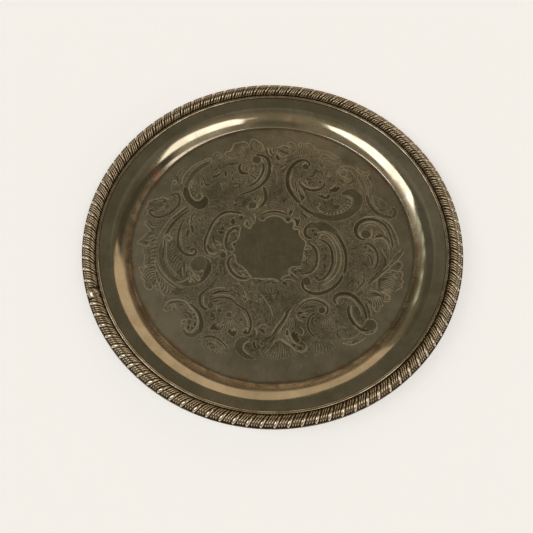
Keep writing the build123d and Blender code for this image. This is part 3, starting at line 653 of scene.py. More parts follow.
L 0.8 24,-59.8 26.4,-58.6 30,-58
D 1.5/1.7/1.4 36,-57.6 32,-60.8 29.8,-66 30,-71 32.4,-75.4 36,-78.4
d 1.1 33.6,-61.8 33,-66 35.4,-69.4
o 36,-64.6 0.8
d 1.2 37.6,-62 39,-62.2
V d 7 0.8 | 40.6,-63.6 43,-62 46,-60 | 41,-67.6 45,-66.4 48.6,-66 | 0.4
V L 6 0.7 | 40,-64.6 43.6,-62.4 46.6,-60.6 | 41.6,-68.4 45.6,-67 49,-66.6 | 0.4
T d 40 0.6 1.4 30 | 34,-70 50,-66 50,-80 38,-79
T d 30 0.6 1.2 30 | 16,-64 28,-66 28,-72 20,-72
V l 8 0.6 | 34,-80 38,-79.6 42,-80 46,-81 | 34,-90 40,-92 46,-92 52,-88 | 0.3
V d 7 0.6 | 34,-81.6 38,-81 42,-81.4 46,-82 | 36,-88 40,-90 45,-90 50,-87 | 0.3
# -- P scroll
D 1.7/2.7/3.3/3.1/2.6/1.9 52.4,-49.4 50.8,-46 52.2,-42.8 56,-40.7 61,-40.3 66,-42.2 70,-45.8 74,-51.4 76,-57.4 76.6,-62
L 0.9 54.4,-50 53.2,-46.4 55.6,-44 60,-43.4 64.6,-44.8 68.4,-48.6 71.6,-54 72.8,-60
D 2.0/2.7/2.5/2.3 62.4,-50.8 62.2,-56 63.6,-61.6 67,-67.2 71,-70.4 76,-71.6 80,-70.6
L 1.1 65,-50.6 64.6,-56 66,-61 69.4,-66 73,-68.4
V d 5 0.6 | 66.4,-52 68,-50.6 70,-53.6 | 70,-68 72.4,-67 74,-65 | 0.2
T L 24 0.6 1.4 45 | 67,-63 72,-63 74,-68 70,-68
Q - 75.2,-66.6 76.4,-63.6 79.4,-62 82.4,-62.6 84.4,-65.4 84.2,-69 81.6,-71.2 78.4,-71.2 76,-69.4
L 0.9 75,-65.4 77,-62.6 80.4,-61.8 83.6,-63.6 85,-67 84,-71.4 81,-74.2 76.4,-75 71,-72.6 66.4,-67.6
d 1.2/1.6 76.2,-49 77.8,-53 79,-58 79.2,-61.6
L 0.8 78.2,-48.6 80,-54 80.6,-60
d 1.2 74,-70 75.4,-68.4
l 0.9 52.6,-75 53,-71.4 56,-69.2 60,-70
l 0.8 54,-77.6 58.4,-79 63.6,-78.9 68,-76.4 71.4,-73.6
d 0.9 53,-71.6 53.4,-76 56.4,-79.4
L 0.8 57,-82.6 62,-84 67,-83.4 72,-80.6 76,-77
l 0.7 60,-81.6 66,-81.4 71,-78.6
d 0.8 65,-82 70,-80
T d 40 0.7 1.6 35 | 50,-50 60,-49 62,-56 62,-66 52,-68 50,-60
V d 5 0.9 | 52.6,-52 54.6,-54 54,-57 | 57,-52 58.4,-54.6 58,-58.6 | 0.3
T d 26 0.6 1.4 35 | 54,-70 66,-70 68,-76 58,-78
o 60.4,-46 0.7
# -- right lower fan T
D 1.0/1.6/1.3 67.6,-39.4 71,-35 74.4,-31 75.6,-28.6 74.6,-26
d 1.1 70.8,-41.2 73.6,-38.6
D 1.5/1.2/0.9 78.6,-31.4 83,-27.6 87,-24.4 92,-19.2 97,-15
d 1.0/1.2 80.6,-28.4 85,-24 89.4,-19.4 92.4,-15.4 93.4,-11 92.4,-7.2
L 0.9 86.4,-26.4 92.6,-21 98,-15 104,-9 109.6,-0.6
L 0.9 83.4,-29.6 90,-23.6 96,-17.4
L 0.8 88,-21 92.6,-17 96.6,-12.6 102,-5 107,0.8
d 0.7 100,-8.6 104,-3.6
d 0.7 103,-8.8 107,-3.4
L 0.9 101.4,-12.6 103,-10.4 106,-10.6 107.6,-13.4 106.4,-16.4 104.4,-18.6
o 104,-13 1.1
L 1.0 96,-19.6 100,-18.8 103,-19.8 106,-19.4 107.6,-22.6 106,-25.6 107.4,-28.4 105.8,-31.4 106.4,-33.4 103,-35.4 100.6,-37.6
R 102.6,-23 1.7
L 0.8 100,-20.6 100,-24 103,-26.6
l 0.8 104,-29 105,-31.6 102,-33.6
V L 11 0.8 | 86,-27 85.6,-31 85,-35 | 99,-20.6 102,-31 97,-41 | 0.7
V d 10 0.8 | 87,-28 86.6,-32 86,-36 | 96,-22 98.6,-31 93.4,-40 | 0.7
d 1.3/0.9 87.4,-27.6 91,-27 94.4,-25.6
L 0.9 80,-36.6 85,-37.6 89,-40.6
d 1.2 80.6,-40.4 84.6,-39.4 88.4,-40.8
d 1.2 76.4,-45.4 79,-46 80.4,-48.6
V d 7 1.0 | 79.6,-42.4 82.4,-41 86.4,-40.4 | 80.4,-51.6 86,-52 92,-46 | 0.5
V L 7 0.9 | 78.6,-43.6 82,-42 86,-41.6 | 79,-53 84.4,-54 91.6,-48 | 0.5
R 93.6,-43 1.9
L 0.9 88.6,-38.6 92.6,-39.6 96,-42 95.6,-45.6 92.6,-46.6 90.4,-45
V L 5 0.8 | 88.4,-37.6 90,-37.6 92,-36 | 93,-41.6 95.6,-40.4 98.6,-37.4 | 0.6
L 0.8 82,-52.6 84.6,-55.6 87.4,-54 88,-51 90,-50.4 89.4,-47.6
L 0.8 80.6,-50.4 82.6,-52 85,-50.4
T d 60 0.6 1.5 60 | 60,-28 76,-24 76,-14 66,-10 60,-12 58,-22
T d 34 0.7 1.6 60 | 54,-34 66,-38 74,-31 66,-26 60,-28
V d 3 1.1 | 64.6,-30 67,-30.4 | 66.6,-27 68.4,-29 | 0.1
# -- K scroll
D 1.2/2.4/3.2/3.4/3.2/2.9/2.4/2.0/1.6/1.4 78,8.9 74,9.2 70.8,12 69.4,16 70.3,21 73.2,25 78,27.6 84,28 90,26 94.6,22 97.6,16 99.4,9 100.2,2
O 78,14 4.0
L 1.2 72.6,15.6 73,12.6 75.4,10.6 78,11.4
L 0.9 80.4,19.4 83,17.4 83,13 80.6,9.6
d 1.1 79,19 81.4,18.8
L 0.8 76,29.8 84,31 90,29.4 96,26.6 100,22 103,15 105,8 105,4
d 0.8 92,27.4 97,23.6 100,18 102,12
L 0.8 76,23.4 80,25.4 86,24.6 91,20.6 94,15 96,8
L 0.7 77,21 82,23.2 87,21.4
d 1.2/0.9 88.4,14.6 91,13.4 93.4,12.4 95.8,10 97.4,6
F - 85.4,9.6 85.8,11.6 87.4,13.6 89.6,13.2 92,12.2 89.4,11 87,10.8
L 0.9 84.6,9.4 87.6,10.4 91,10.6 94,8.4 96.4,4 97.4,-1
L 0.7 82.6,9.6 85.4,6.6
T d 24 0.6 1.2 10 | 86,8 92,9 92,2 87,2
d 0.9 91,1.4 93.4,-1.6
L 0.8 90.6,2.4 92.4,-3 95,-8
T d 22 0.6 1.2 60 | 91,2 97,0 97,-9 94,-12 90,-6
T l 20 0.6 1.4 80 | 100,6 104,4 103,-4 99,-4
# -- L scrolls
O 77.4,1.6 1.6
D 1.1/1.9/1.8/1.4/1.0 76.2,3 77.6,4.9 80.4,5.1 83,3.3 85.8,-0.4 87.3,-6 86.9,-12 85.2,-16.6 83.2,-18.8
L 0.8 79.4,2.6 82,0.6 84.4,-4 85,-10 83.6,-15
D 0.9/1.6/1.1 76.4,-4.4 79,-4.4 81.4,-7 82.6,-11 82,-16
d 0.8 92.6,-7.6 93,-12 91,-17.6 88,-21.6
d 0.9 81,-0.4 83.6,-3
d 0.9 75,-12 77.6,-16
d 1.1 79,-18.4 79.8,-19
T d 90 0.65 1.3 20 | 61,26 68,26 70,8 75,6 74,-6 80,-16 72,-22 64,-18 62,0 58,14
T L 36 0.5 1.0 20 | 61,26 68,26 70,8 75,6 74,-6 80,-16 72,-22 64,-18 62,0 58,14
d 0.9 66,-0.6 69.4,1.4
d 0.9 65,-6 68.4,-4.4
o 66.6,23.6 0.8
# -- J scroll
D 2.4/2.7/2.7/2.2 35.5,23 31,21.6 27.6,17.6 27,13 29.4,9.7 33,8.9
Q - 28.6,17.4 32,21.4 36.6,24 42.6,24.4 48,21.8 53,17.4 56.6,12 59.6,5 58,1.4 55.6,6.8 52.4,11.4 48.4,14.6 44,16 39.6,15.4 36.6,18.4 33.6,18.6
F - 52,14.6 55,12.4 59,5.6 61.4,0 62.4,-7 62,-15 60.4,-22 58.6,-22 59.8,-14 59.8,-6 58,1 55.6,6.6
D 2.0/2.6/3.1/3.0/2.4/1.9/1.5 58,-24 54.8,-30.6 49,-36.4 42,-40.2 35,-41.2 28.6,-38.6 25.4,-34 26,-29.4 29.6,-27.8 31.6,-30.6
O 29,-31.4 2.9
L 1.1 26.6,-33 27.6,-36.4 31,-38.6
L 0.9 36.4,9.4 36.8,13 40.4,15 45.4,14 50.4,9.6 54,4 56.4,-2 57,-9 56.4,-15 54.4,-20.6 51,-26 46.4,-30.6 41,-34
L 0.8 38.4,8.6 41,12.6 45,11.8 48.6,8 51.4,3 53,-3 53.4,-9 52.4,-15.6 50.4,-21 47.4,-25.6 43,-29.6
V d 22 0.5 | 42,14 48,10.4 51.6,5 54.2,-2 54.6,-9 53.8,-16 51,-22 46.4,-27.6 41,-31.6 | 41.6,12.4 46.8,8.8 50,4 52.2,-2.4 52.6,-9 51.8,-15.6 49,-21 44.6,-26.4 40,-30 | 0
D 1.1/1.9/2.1/2.1/1.8/1.4 37,7 41,7.3 45,4.9 48,1 49.4,-4 49.9,-10 49.3,-16 47,-21.6 44,-26 40,-28.8 37,-29.4
R 39.4,4.6 2.0
O 37,-27.2 1.9
d 1.4 44.6,-6 44,-8.6 42,-11
d 1.0 45,-6.6 43.4,-6.4
d 1.4 42.6,-15 44,-16.4 43,-18 41.4,-18.4
d 0.9 40.4,-3 42,-0.6
d 0.9 44,-1.4 44.6,1
o 40.4,-24 0.8
d 0.9 42.4,-22 44,-20
o 33.6,16 1.1
o 36,12.4 1.5
T d 30 0.6 1.4 30 | 38,2 46,2 48,-10 45,-22 40,-24 40,-8
T d 60 0.55 1.2 40 | 30,-24 38,-22 46,-30 40,-38 30,-36
# -- C scroll with wide band
O 27,78 2.9
D 1.4/1.9/2.7/3.3/3.3/3.3/3.6/3.3/3.0 30.6,78.6 30.2,82 27.4,84.4 23.4,84.6 19.2,82.6 15,78 12.2,72 11.3,65 12,58.4 14.4,52.4 18.4,46.4 22.4,42
L 1.1 24,80.6 26.4,82 28.6,80.6
L 0.9 15.6,72 14,66 14.6,59 17,53.6
D 2.6/3.0 21.6,40.6 26,37 31,33.4 36,31
Q - 33,30.6 38,27.6 44,26.2 51,25.5 58,26.5 64.6,29.6 70,34 74.4,39.6 76.2,46 75,51.4 71.6,55.6 67.4,57.4 62.4,56.4 58.6,53.4 58.4,51 62.4,50.8 66,50 68.2,47.4 68.2,44 66.2,40.2 62.4,36.4 57.6,33.4 52,31.4 46.4,31 40.6,32.2 36,34
L 1.0 37,38 40.4,34.4 46,32.6 52,33 57.6,35.4 62.4,39 65.6,42.6 66.6,46.4 64.8,48.8 61.4,48.8
o 43.6,32.8 0.7
o 47,32.3 0.8
o 49.9,32.4 0.8
o 53,33 0.8
o 56.2,34.4 0.8
o 58.9,35.7 0.8
o 61.2,37.4 0.8
o 63.2,39.6 0.8
o 64.9,42 0.8
o 65.4,44.8 0.8
R 57.4,34.6 0.7
R 63.6,41.2 0.6
o 62.6,46.4 1.0
R 64.4,46 1.6
# inside
F - 17.4,64.4 18.6,63 19,59 19.8,56 20.2,53 18.8,53.4 18.4,57
F - 20.6,55.4 22.2,54.4 23,51.4 24.6,50 26.4,48.4 26.2,46 24.4,45 22,44 23.4,46.4 22.2,49 21.4,52
L 0.8 21.6,58 24.4,54 26.4,50.4
d 1.0 25.4,56.4 27.4,52.6 28.6,48.6
d 1.0 29,47.4 29.6,44.6
D 1.2/2.0/2.6/2.3/1.6 21,65 22.6,60.4 26,56.8 31,54.9 36,54.8 40,56.4 43,59.4 43.6,63
O 39.6,63 1.6
L 1.0 24,62 27,59.4 31,57.4 35.4,57.4 38.6,59
d 1.4 28,66.6 30.4,65.4 32.4,65.6
d 1.4 28,62.4 30,62 30.6,60.4
d 0.9 31.6,63.6 33.4,63
L 1.1 27,64.8 28.4,62.6 29.4,61
d 1.1/1.3/0.9 30.4,68.8 33,68.8 34.4,71.6 35.6,75 37,73.6 39,73 41.2,72.6 41.6,70
d 0.9 24.4,71 23.4,67.4
F - 47.4,54.8 49.4,54 52,53.2 55,54.8 57.2,57.4 55.6,59.4 53.6,58.4 51.8,60 51,57.4 49.6,57
L 0.8 47.8,56.6 51.4,59.4 54,61.4
V L 4 0.6 | 49,54.8 52,55 | 52.6,59.4 56,58.4 | 0
F - 37,51 38.2,49 40.4,47.8 43,46.6 46.4,47 48.2,48.6 48.4,51.2 46,50.6 44.4,48.8 41,50.8 39.4,50
V L 4 0.7 | 39,49.4 46,48.4 | 41,53 48,52 | 0
o 48.6,53.6 0.8
D 1.1 52.2,47.8 53.6,45.4 55,44.2 53.4,41.4
d 0.8 51,47 49.4,44.6
d 1.0 42.6,44.6 44.4,42
d 0.9 47.8,41.8 49.4,41
L 0.8 35.2,38.7 38.4,39 39.6,40.8 38.4,42.4
V d 6 0.6 | 51,38 53.6,37 | 53.6,42 57,41 | 0
T d 60 0.6 1.6 50 | 30,46 56,46 60,40 50,34 38,36 31,40
T L 24 0.5 1.4 50 | 30,46 56,46 60,40 50,34 38,36 31,40
V d 7 0.7 | 44,67.6 47.6,66.4 | 47,76 51.6,73 | 0
V L 6 0.6 | 44.4,68 47.6,67 | 47.4,75.6 51.2,73 | 0
T d 26 0.7 1.4 45 | 46,68 52,70 52,63 47,64
T d 30 0.6 1.6 110 | 16,76 22,80 28,72 22,66 16,68
# -- B scroll
D 2.3/3.1/3.2/2.6/1.6 -9.2,57 -7.5,53 -6.7,48 -7.2,43.4 -9.6,39.4 -12.6,36.2
O -18,38.8 3.4
D 1.4 -12.8,36 -16,34.4 -19,34.6 -21.4,37
L 1.3 -20,36 -17.6,34.9 -15,35.8 -13.8,38 -13.4,40.4
O -16,45 1.4
L 0.8 -14.6,42.4 -12,43.6 -11.4,47
V d 5 0.6 | -20,44 -22,40 | -26,41 -28,37 | 0
d 0.9 -20,46 -24,43.4 -27,40
T d 46 0.6 1.8 140 | -32,46 -20,50 -13,48 -20,42 -30,36 -34,40
d 1.2 -35,40.4 -33,39 -31.4,37.4
L 0.9 -35,39.4 -33.4,41 -32,40
d 1.0 -26,39.4 -24.4,37.6
# -- cross-hatched panel, top middle
V d 15 0.45 | -4,64 -3,52 -4,42 -8,34 | 9,58 9,48 8,40 2,34 | 0
V d 13 0.45 | -4,50 -2,62 0,70 4,72 | -6,38 2,44 7,52 9,60 | 0
V l 12 0.4 | -4,62 -3,50 -4,40 -8,34 | 9,56 9,46 8,38 2,34 | 0
d 1.0 3,53 5.4,54.2 8,56
d 0.9 4,51.4 6.4,52.4
d 1.1/0.7 7.6,48 8,45 8.6,42
d 1.0 10.4,47 9.4,44.6 9,42
d 1.2/0.8 5.4,71.4 8.4,74.6 11,77.4
d 1.4/0.9 4.6,76.4 7,78 10.4,81
L 0.8 6.6,75.6 9,78.4
d 1.0 10,82.4 14,84.4
d 1.1 -1,80.6 2,79.4 5,79.6
L 0.9 -2,72 -2.6,76 -1,79
l 0.8 2,60 2.4,68 1,75
# little leaves at the right of the cartouche top
V d 5 0.8 | 11,31.6 13.6,31 16,31.6 | 11,37 13.6,40 17,37 | 0.2
V L 5 0.8 | 12,32 14,31.6 16.6,32 | 12,38 15,41 18,38 | 0.2
F - 13.4,31.6 14.6,30.6 15.8,33 15,35.6 13.8,34
# -- top rose
d 1.5/1.1 -7.4,94.4 -6.6,90.4 -4,87.2 -1.6,86.4
d 1.2/0.8 -4,95.2 -3.6,91.2 -2,89.4 0,90.4
d 0.9 -1.4,95.6 -1.6,93 -0.4,91.4
L 1.0 -7,97.4 -5.8,94.4 -5.4,91 -3,88.4
L 0.9 -2.6,97 -2.6,93.4 -1,90.8
L 0.9 0,97 3.4,97.6 7.4,99.2 11.4,98.8 14,97
l 0.9 10,101 12.4,103.2 15.6,102.6 18,99.6 18.6,95.6 17,92 14.6,90.6
Q - 2,94.8 5.4,95.4 9,93.6 12.8,91.4 11.4,89.6 7.6,91 4,92.6
F - 1,89.4 2.4,89.8 3.6,87.4 4.6,84.6 2.4,84.4 1,86.4
d 1.1 6.4,97.8 9,98 11.4,96.6
L 0.8 0.4,92.6 2.6,91.4 5.4,88 9.4,88.4 12,90
l 0.8 -0.6,84.4 3,82.6 7.4,83.6 10.4,86
l 0.7 3,80.6 8,81 12,84
V l 4 0.6 | 11,94 13.4,92 | 14.6,101.4 17.8,98 | 0.4
# -- top fringe
L 1.0 -45,88 -42.6,91.4 -39.4,92 -37.6,95.6 -36.2,100.1 -31.9,101.2 -28.4,102.4 -25,101.2 -23.4,98.6
L 1.0 -23,99 -21.6,104 -19.4,105.1 -16.1,103.5 -12.8,101.2 -10.8,98.6 -9.8,95.2 -10.8,93
L 0.8 -39.8,92.8 -38.4,95.2
V L 5 0.7 | -27.4,94 -24.6,95.6 -22,96.6 | -30,98.6 -27.4,99.4 -24.4,99.6 | 0
V d 4 0.7 | -27,94.4 -24.8,95.8 -23,96.4 | -28.8,97.8 -26.8,98.6 -25,98.8 | 0
V L 6 0.7 | -18.4,95 -14.6,93.6 -11.8,92.4 | -19.4,102 -15.4,101.6 -11.4,97.4 | 0
V d 5 0.7 | -17.6,95.4 -14.6,94.4 -12.4,93.4 | -18,100.6 -15,100.4 -12.4,97 | 0
V l 7 0.6 | -36,88 -30,90 -26,90 | -38,94.6 -33,96.4 -30,98 | 0
V l 8 0.6 | -42,82 -34,84 -26,86 | -50,88 -40,90 -30,94 | 0.3
l 0.8 -54.6,86.4 -53,90.6 -49.6,90.6 -46.6,88 -47,85 -50,84
l 0.8 -52,84.4 -50.6,88 -48,87.6
l 0.8 -44,88.6 -42,86 -38.6,85.6
l 0.8 -41,84.8 -36.6,84.6 -33,86
d 1.2 -37,79.4 -34,80.2
l 0.8 20,100.4 22,103 25,101.8 28,102.3 31,102.3 33.2,99.8 35.2,96.8 38,95.3 43,95.1 48,93.8 52,91.3 56,87.8 57.6,85 55.4,82.6 51,82
V l 9 0.7 | 22,88 27,88.6 32,90 | 21,100 28,101 37,94 | 0.3
V d 6 0.6 | 22,90 27,90.6 32,91 | 22,98 27.6,98.6 33,95 | 0.3
V l 9 0.7 | 33,86 38,86 42,84 | 38,94 47,92 54,86 | 0.4
V d 6 0.5 | 34,87 39,87 43,85 | 38,92 46,90 51,86 | 0.4
d 1.1 39,80.4 41.4,79.4 42.4,81
d 0.9 33,84 35,82.4
# -- M leaf, right upper
l 0.9 54,70 55,75.6 59,79.4 65,79.6 70.4,76.6 75,70.6 78.4,63.4 79.8,56 79.6,50
l 0.8 57,71.4 59.4,75.6 64,76 68.4,72.6 71,67
R 59.6,72.8 3.6
l 0.9 71,79 75,75.4 79,74 82.2,75.2 82.6,72.4 80.6,69.4 83,64.6 84,60 83.4,55
l 0.8 73,74 77,70.6 80,65 81.6,58 81,52 82.6,46 86,40 91,35
l 0.8 76,73 80,70.6
P 2.6/3.2/3.4/3.2/2.6 79.6,51.4 80.6,45.6 83.4,39.6 88,34.4 94,31.4 100,30.6 103,33.4 103.2,37.4 100.6,39.6
L 0.8 84,51.6 84.6,46.4 87,40.6 91,37 96,36.4 98.4,37.6
l 0.8 85.6,52 88.2,49.2 91.6,48.2 93.8,45.6 96.6,44 96.4,41.6
l 0.7 88,47 90.4,45 90,42 92.6,41.4
d 1.0 89.4,37.6 92,37 95.6,36.4
d 0.8 83.4,66 82.4,70
d 1.2/0.8 56.6,65.4 59,64.4 60.4,62.6
d 1.0 64,62 67,63.6 68.6,66
V l 6 0.6 | 60,70 66,68 | 60,60 68,58 | 0.3
V l 6 0.6 | 72,70 76,60 | 69,59 76,52 | 0.3
T d 40 0.5 1.4 100 | 56,68 66,72 76,62 76,52 68,59 58,60
# strokes over the lower middle field
T d 120 0.6 2.4 130 | -34,-32 -14,-36 0,-38 6,-46 -4,-60 -16,-56 -26,-48 -40,-36
T L 60 0.55 2.4 130 | -34,-32 -14,-36 0,-38 6,-46 -4,-60 -16,-56 -26,-48 -40,-36
T d 90 0.6 1.8 40 | 6,-34 24,-34 24,-44 34,-44 22,-50 10,-52 2,-48 2,-40
T d 60 0.55 2.0 60 | -14,-56 4,-52 10,-58 2,-72 -10,-70 -14,-62
V L 5 0.8 | -27,-34 -22,-36 | -33,-38 -24,-41 | 0
V d 5 0.8 | -28,-35 -23,-37 | -33,-37 -25,-41 | 0
D 1.2 -22.6,-46 -21.2,-48.6 -19.8,-46.4
L 1.0 -21,-46.6 -20.4,-43.4 -22,-41
d 1.0 -17.4,-51.8 -15.6,-49.4
d 1.1 -5,-46 -3,-44.6
d 1.1 -3,-49 -1,-51.4
d 1.0 -2,-45 1.4,-47.4
d 1.0 4.6,-39 6.4,-42.4
L 0.9 -12,-41 -7,-45 -3,-50 0,-56 2,-62
d 0.8 -11,-42 -7.6,-45.6
T d 50 0.6 2.0 120 | -60,40 -40,46 -38,36 -52,34 -58,36
T L 26 0.5 2.0 120 | -60,40 -40,46 -38,36 -52,34 -58,36
T d 60 0.6 2.2 60 | -50,-12 -38,-14 -40,-28 -46,-28 -50,-20
D 1.4 -43.4,-18 -41.4,-21.4 -42.4,-25
d 1.1 -39,-22 -38,-26
T d 40 0.6 1.0 0 | -74,-41 -60,-38 -56,-40 -60,-52 -72,-48
T l 24 0.5 2.0 30 | -96,50 -80,50 -79,44 -84,30 -92,24 -100,22
T d 30 0.6 1.4 30 | 46,22 60,24 66,20 60,12 52,18
T d 30 0.6 1.4 60 | 70,34 82,38 82,30 72,28
"""


def ornament_layers(step=0.15, half=118.5):
    """Rasterises the strokes: returns x/y grid start, step, etched-ground cover, dark cover and bright cover."""
    n = int(2 * half / step) + 1
    ground = np.zeros((n, n), np.float32)
    dark = np.zeros((n, n), np.float32)
    bright = np.zeros((n, n), np.float32)
    rng = np.random.default_rng(42)

    def pts(text):
        return np.array([[float(c) for c in q.split(",")] for q in text.split()])

    def curve(p, closed=False, sub=7):
        if len(p) < 3:
            return p
        if closed:
            q = np.vstack([p[-1], p, p[0], p[1]])
        else:
            q = np.vstack([2 * p[0] - p[1], p, 2 * p[-1] - p[-2]])
        out = []
        t = np.linspace(0, 1, sub, endpoint=False)[:, None]
        for i in range(1, len(q) - 2):
            a, b, c, d = q[i - 1], q[i], q[i + 1], q[i + 2]
            out.append(0.5 * (2 * b + (c - a) * t + (2 * a - 5 * b + 4 * c - d) * t * t + (3 * b - a - 3 * c + d) * t ** 3))
        out = np.vstack(out)
        return out if closed else np.vstack([out, p[-1]])

    def window(x0, y0, x1, y1):
        i0 = max(int((x0 + half) / step), 0)
        i1 = min(int((x1 + half) / step) + 2, n)
        j0 = max(int((y0 + half) / step), 0)
        j1 = min(int((y1 + half) / step) + 2, n)
        xs = -half + np.arange(i0, i1) * step
        ys = -half + np.arange(j0, j1) * step
        return i0, i1, j0, j1, xs, ys

    def put(layer, sl, cover, mode, value=1.0):
        j0, j1, i0, i1 = sl
        part = layer[j0:j1, i0:i1]
        if mode == "max":
            np.maximum(part, cover * value, out=part)
        else:
            part *= 1 - cover * value

    def stroke(line, widths, acts):
        """acts: list of (layer, grow, mode, value)."""
        w = np.interp(np.linspace(0, 1, len(line)), np.linspace(0, 1, len(widths)), widths) / 2 if len(widths) > 1 else np.full(len(line), widths[0] / 2)
        taper = len(line) > 2
        seg = np.linalg.norm(np.diff(line, axis=0), axis=1)
        arc = np.concatenate([[0], np.cumsum(seg)])
        if taper:
            e = np.minimum(arc, arc[-1] - arc)
            w = w * np.clip(0.45 + 0.55 * e / 1.6, 0, 1)
        gmax = max(a[1] for a in acts) + w.max() + 2 * step
        i0, i1, j0, j1, xs, ys = window(line[:, 0].min() - gmax, line[:, 1].min() - gmax, line[:, 0].max() + gmax, line[:, 1].max() + gmax)
        if i1 <= i0 or j1 <= j0:
            return
        dist = np.full((j1 - j0, i1 - i0), 9.0, np.float32)
        for k in range(len(line) - 1):
            a, b = line[k], line[k + 1]
            r = max(w[k], w[k + 1]) + gmax - w.max()
            u0 = max(int((min(a[0], b[0]) - r - xs[0]) / step), 0)
            u1 = min(int((max(a[0], b[0]) + r - xs[0]) / step) + 2, i1 - i0)
            v0 = max(int((min(a[1], b[1]) - r - ys[0]) / step), 0)
            v1 = min(int((max(a[1], b[1]) + r - ys[0]) / step) + 2, j1 - j0)
            if u1 <= u0 or v1 <= v0:
                continue
            X = xs[None, u0:u1]
            Y = ys[v0:v1, None]
            d = b - a
            L2 = d @ d + 1e-12
            t = np.clip(((X - a[0]) * d[0] + (Y - a[1]) * d[1]) / L2, 0, 1)
            dd = np.hypot(X - a[0] - t * d[0], Y - a[1] - t * d[1]) - (w[k] + (w[k + 1] - w[k]) * t)
            np.minimum(dist[v0:v1, u0:u1], dd, out=dist[v0:v1, u0:u1])
        for layer, grow, mode, value in acts:
            cover = np.clip(0.5 - (dist - grow) / (1.3 * step), 0, 1)
            put(layer, (j0, j1, i0, i1), cover, mode, value)

    def shape(poly, acts):
        g = max(a[1] for a in acts) + 2 * step
        i0, i1, j0, j1, xs, ys = window(poly[:, 0].min() - g, poly[:, 1].min() - g, poly[:, 0].max() + g, poly[:, 1].max() + g)
        inside = np.zeros((j1 - j0, i1 - i0), bool)
        dist = np.full(inside.shape, 9.0, np.float32)
        for k in range(len(poly)):
            a, b = poly[k], poly[(k + 1) % len(poly)]
            if a[1] != b[1]:
                v0 = max(int((min(a[1], b[1]) - ys[0]) / step) - 1, 0)
                v1 = min(int((max(a[1], b[1]) - ys[0]) / step) + 2, j1 - j0)
                Y = ys[v0:v1, None]
                c = ((a[1] > Y) != (b[1] > Y)) & (xs[None, :] < (b[0] - a[0]) * (Y - a[1]) / (b[1] - a[1]) + a[0])
                inside[v0:v1] ^= c
            r = g + step
            u0 = max(int((min(a[0], b[0]) - r - xs[0]) / step), 0)
            u1 = min(int((max(a[0], b[0]) + r - xs[0]) / step) + 2, i1 - i0)
            v0 = max(int((min(a[1], b[1]) - r - ys[0]) / step), 0)
            v1 = min(int((max(a[1], b[1]) + r - ys[0]) / step) + 2, j1 - j0)
            if u1 <= u0 or v1 <= v0:
                continue
            X = xs[None, u0:u1]
            Y = ys[v0:v1, None]
            d = b - a
            t = np.clip(((X - a[0]) * d[0] + (Y - a[1]) * d[1]) / (d @ d + 1e-12), 0, 1)
            np.minimum(dist[v0:v1, u0:u1], np.hypot(X - a[0] - t * d[0], Y - a[1] - t * d[1]), out=dist[v0:v1, u0:u1])
        sd = np.where(inside, -dist, dist)
        for layer, grow, mode, value in acts:
            put(layer, (j0, j1, i0, i1), np.clip(0.5 - (sd - grow) / (1.3 * step), 0, 1), mode, value)

    def along(p, m):
        c = curve(p) if len(p) > 2 else p
        s = np.concatenate([[0], np.cumsum(np.linalg.norm(np.diff(c, axis=0), axis=1))])
        u = np.linspace(0, s[-1], m)
        return np.stack([np.interp(u, s, c[:, 0]), np.interp(u, s, c[:, 1])], -1)

    HALO = 0.55
    dark_halo = [(bright, HALO, "max", 0.9), (bright, 0.0, "cut", 1.0), (dark, 0.0, "max", 1.0)]
    plain_halo = [(bright, HALO, "max", 0.8), (bright, 0.0, "cut", 1.0), (dark, 0.0, "cut", 1.0), (dark, 0.0, "max", 0.5)]
    boss_halo = [(bright, HALO, "max", 0.9), (bright, 0.0, "cut", 1.0), (dark, 0.0, "cut", 1.0), (dark, 0.0, "max", 0.66)]
    dark_only = [(bright, 0.0, "cut", 1.0), (dark, 0.0, "max", 1.0)]
    bright_only = [(dark, 0.0, "cut", 1.0), (bright, 0.0, "max", 1.0)]
    faint_only = [(dark, 0.0, "cut", 0.8), (bright, 0.0, "max", 0.62)]
    acts = {"D": dark_halo, "F": dark_halo, "O": boss_halo, "P": plain_halo, "Q": plain_halo, "d": dark_only, "o": dark_only,
            "L": bright_only, "l": faint_only, "R": bright_only}

    shape(curve(pts(GROUND), True, 4), [(ground, 0.0, "max", 1.0)])
    shape(curve(pts(CARTOUCHE), True, 4), [(ground, 0.0, "cut", 1.0)])
    base = ground.copy()
    lines = [q.strip() for q in STROKES.splitlines() if q.strip() and not q.startswith("#")]
    # field ticks first, then fans, then scrolls, so that the big shapes stay clean
    order = {"T": 0, "V": 1, "l": 2, "L": 4, "d": 4, "D": 3, "P": 3, "Q": 3, "F": 3, "O": 5, "o": 6, "R": 5}

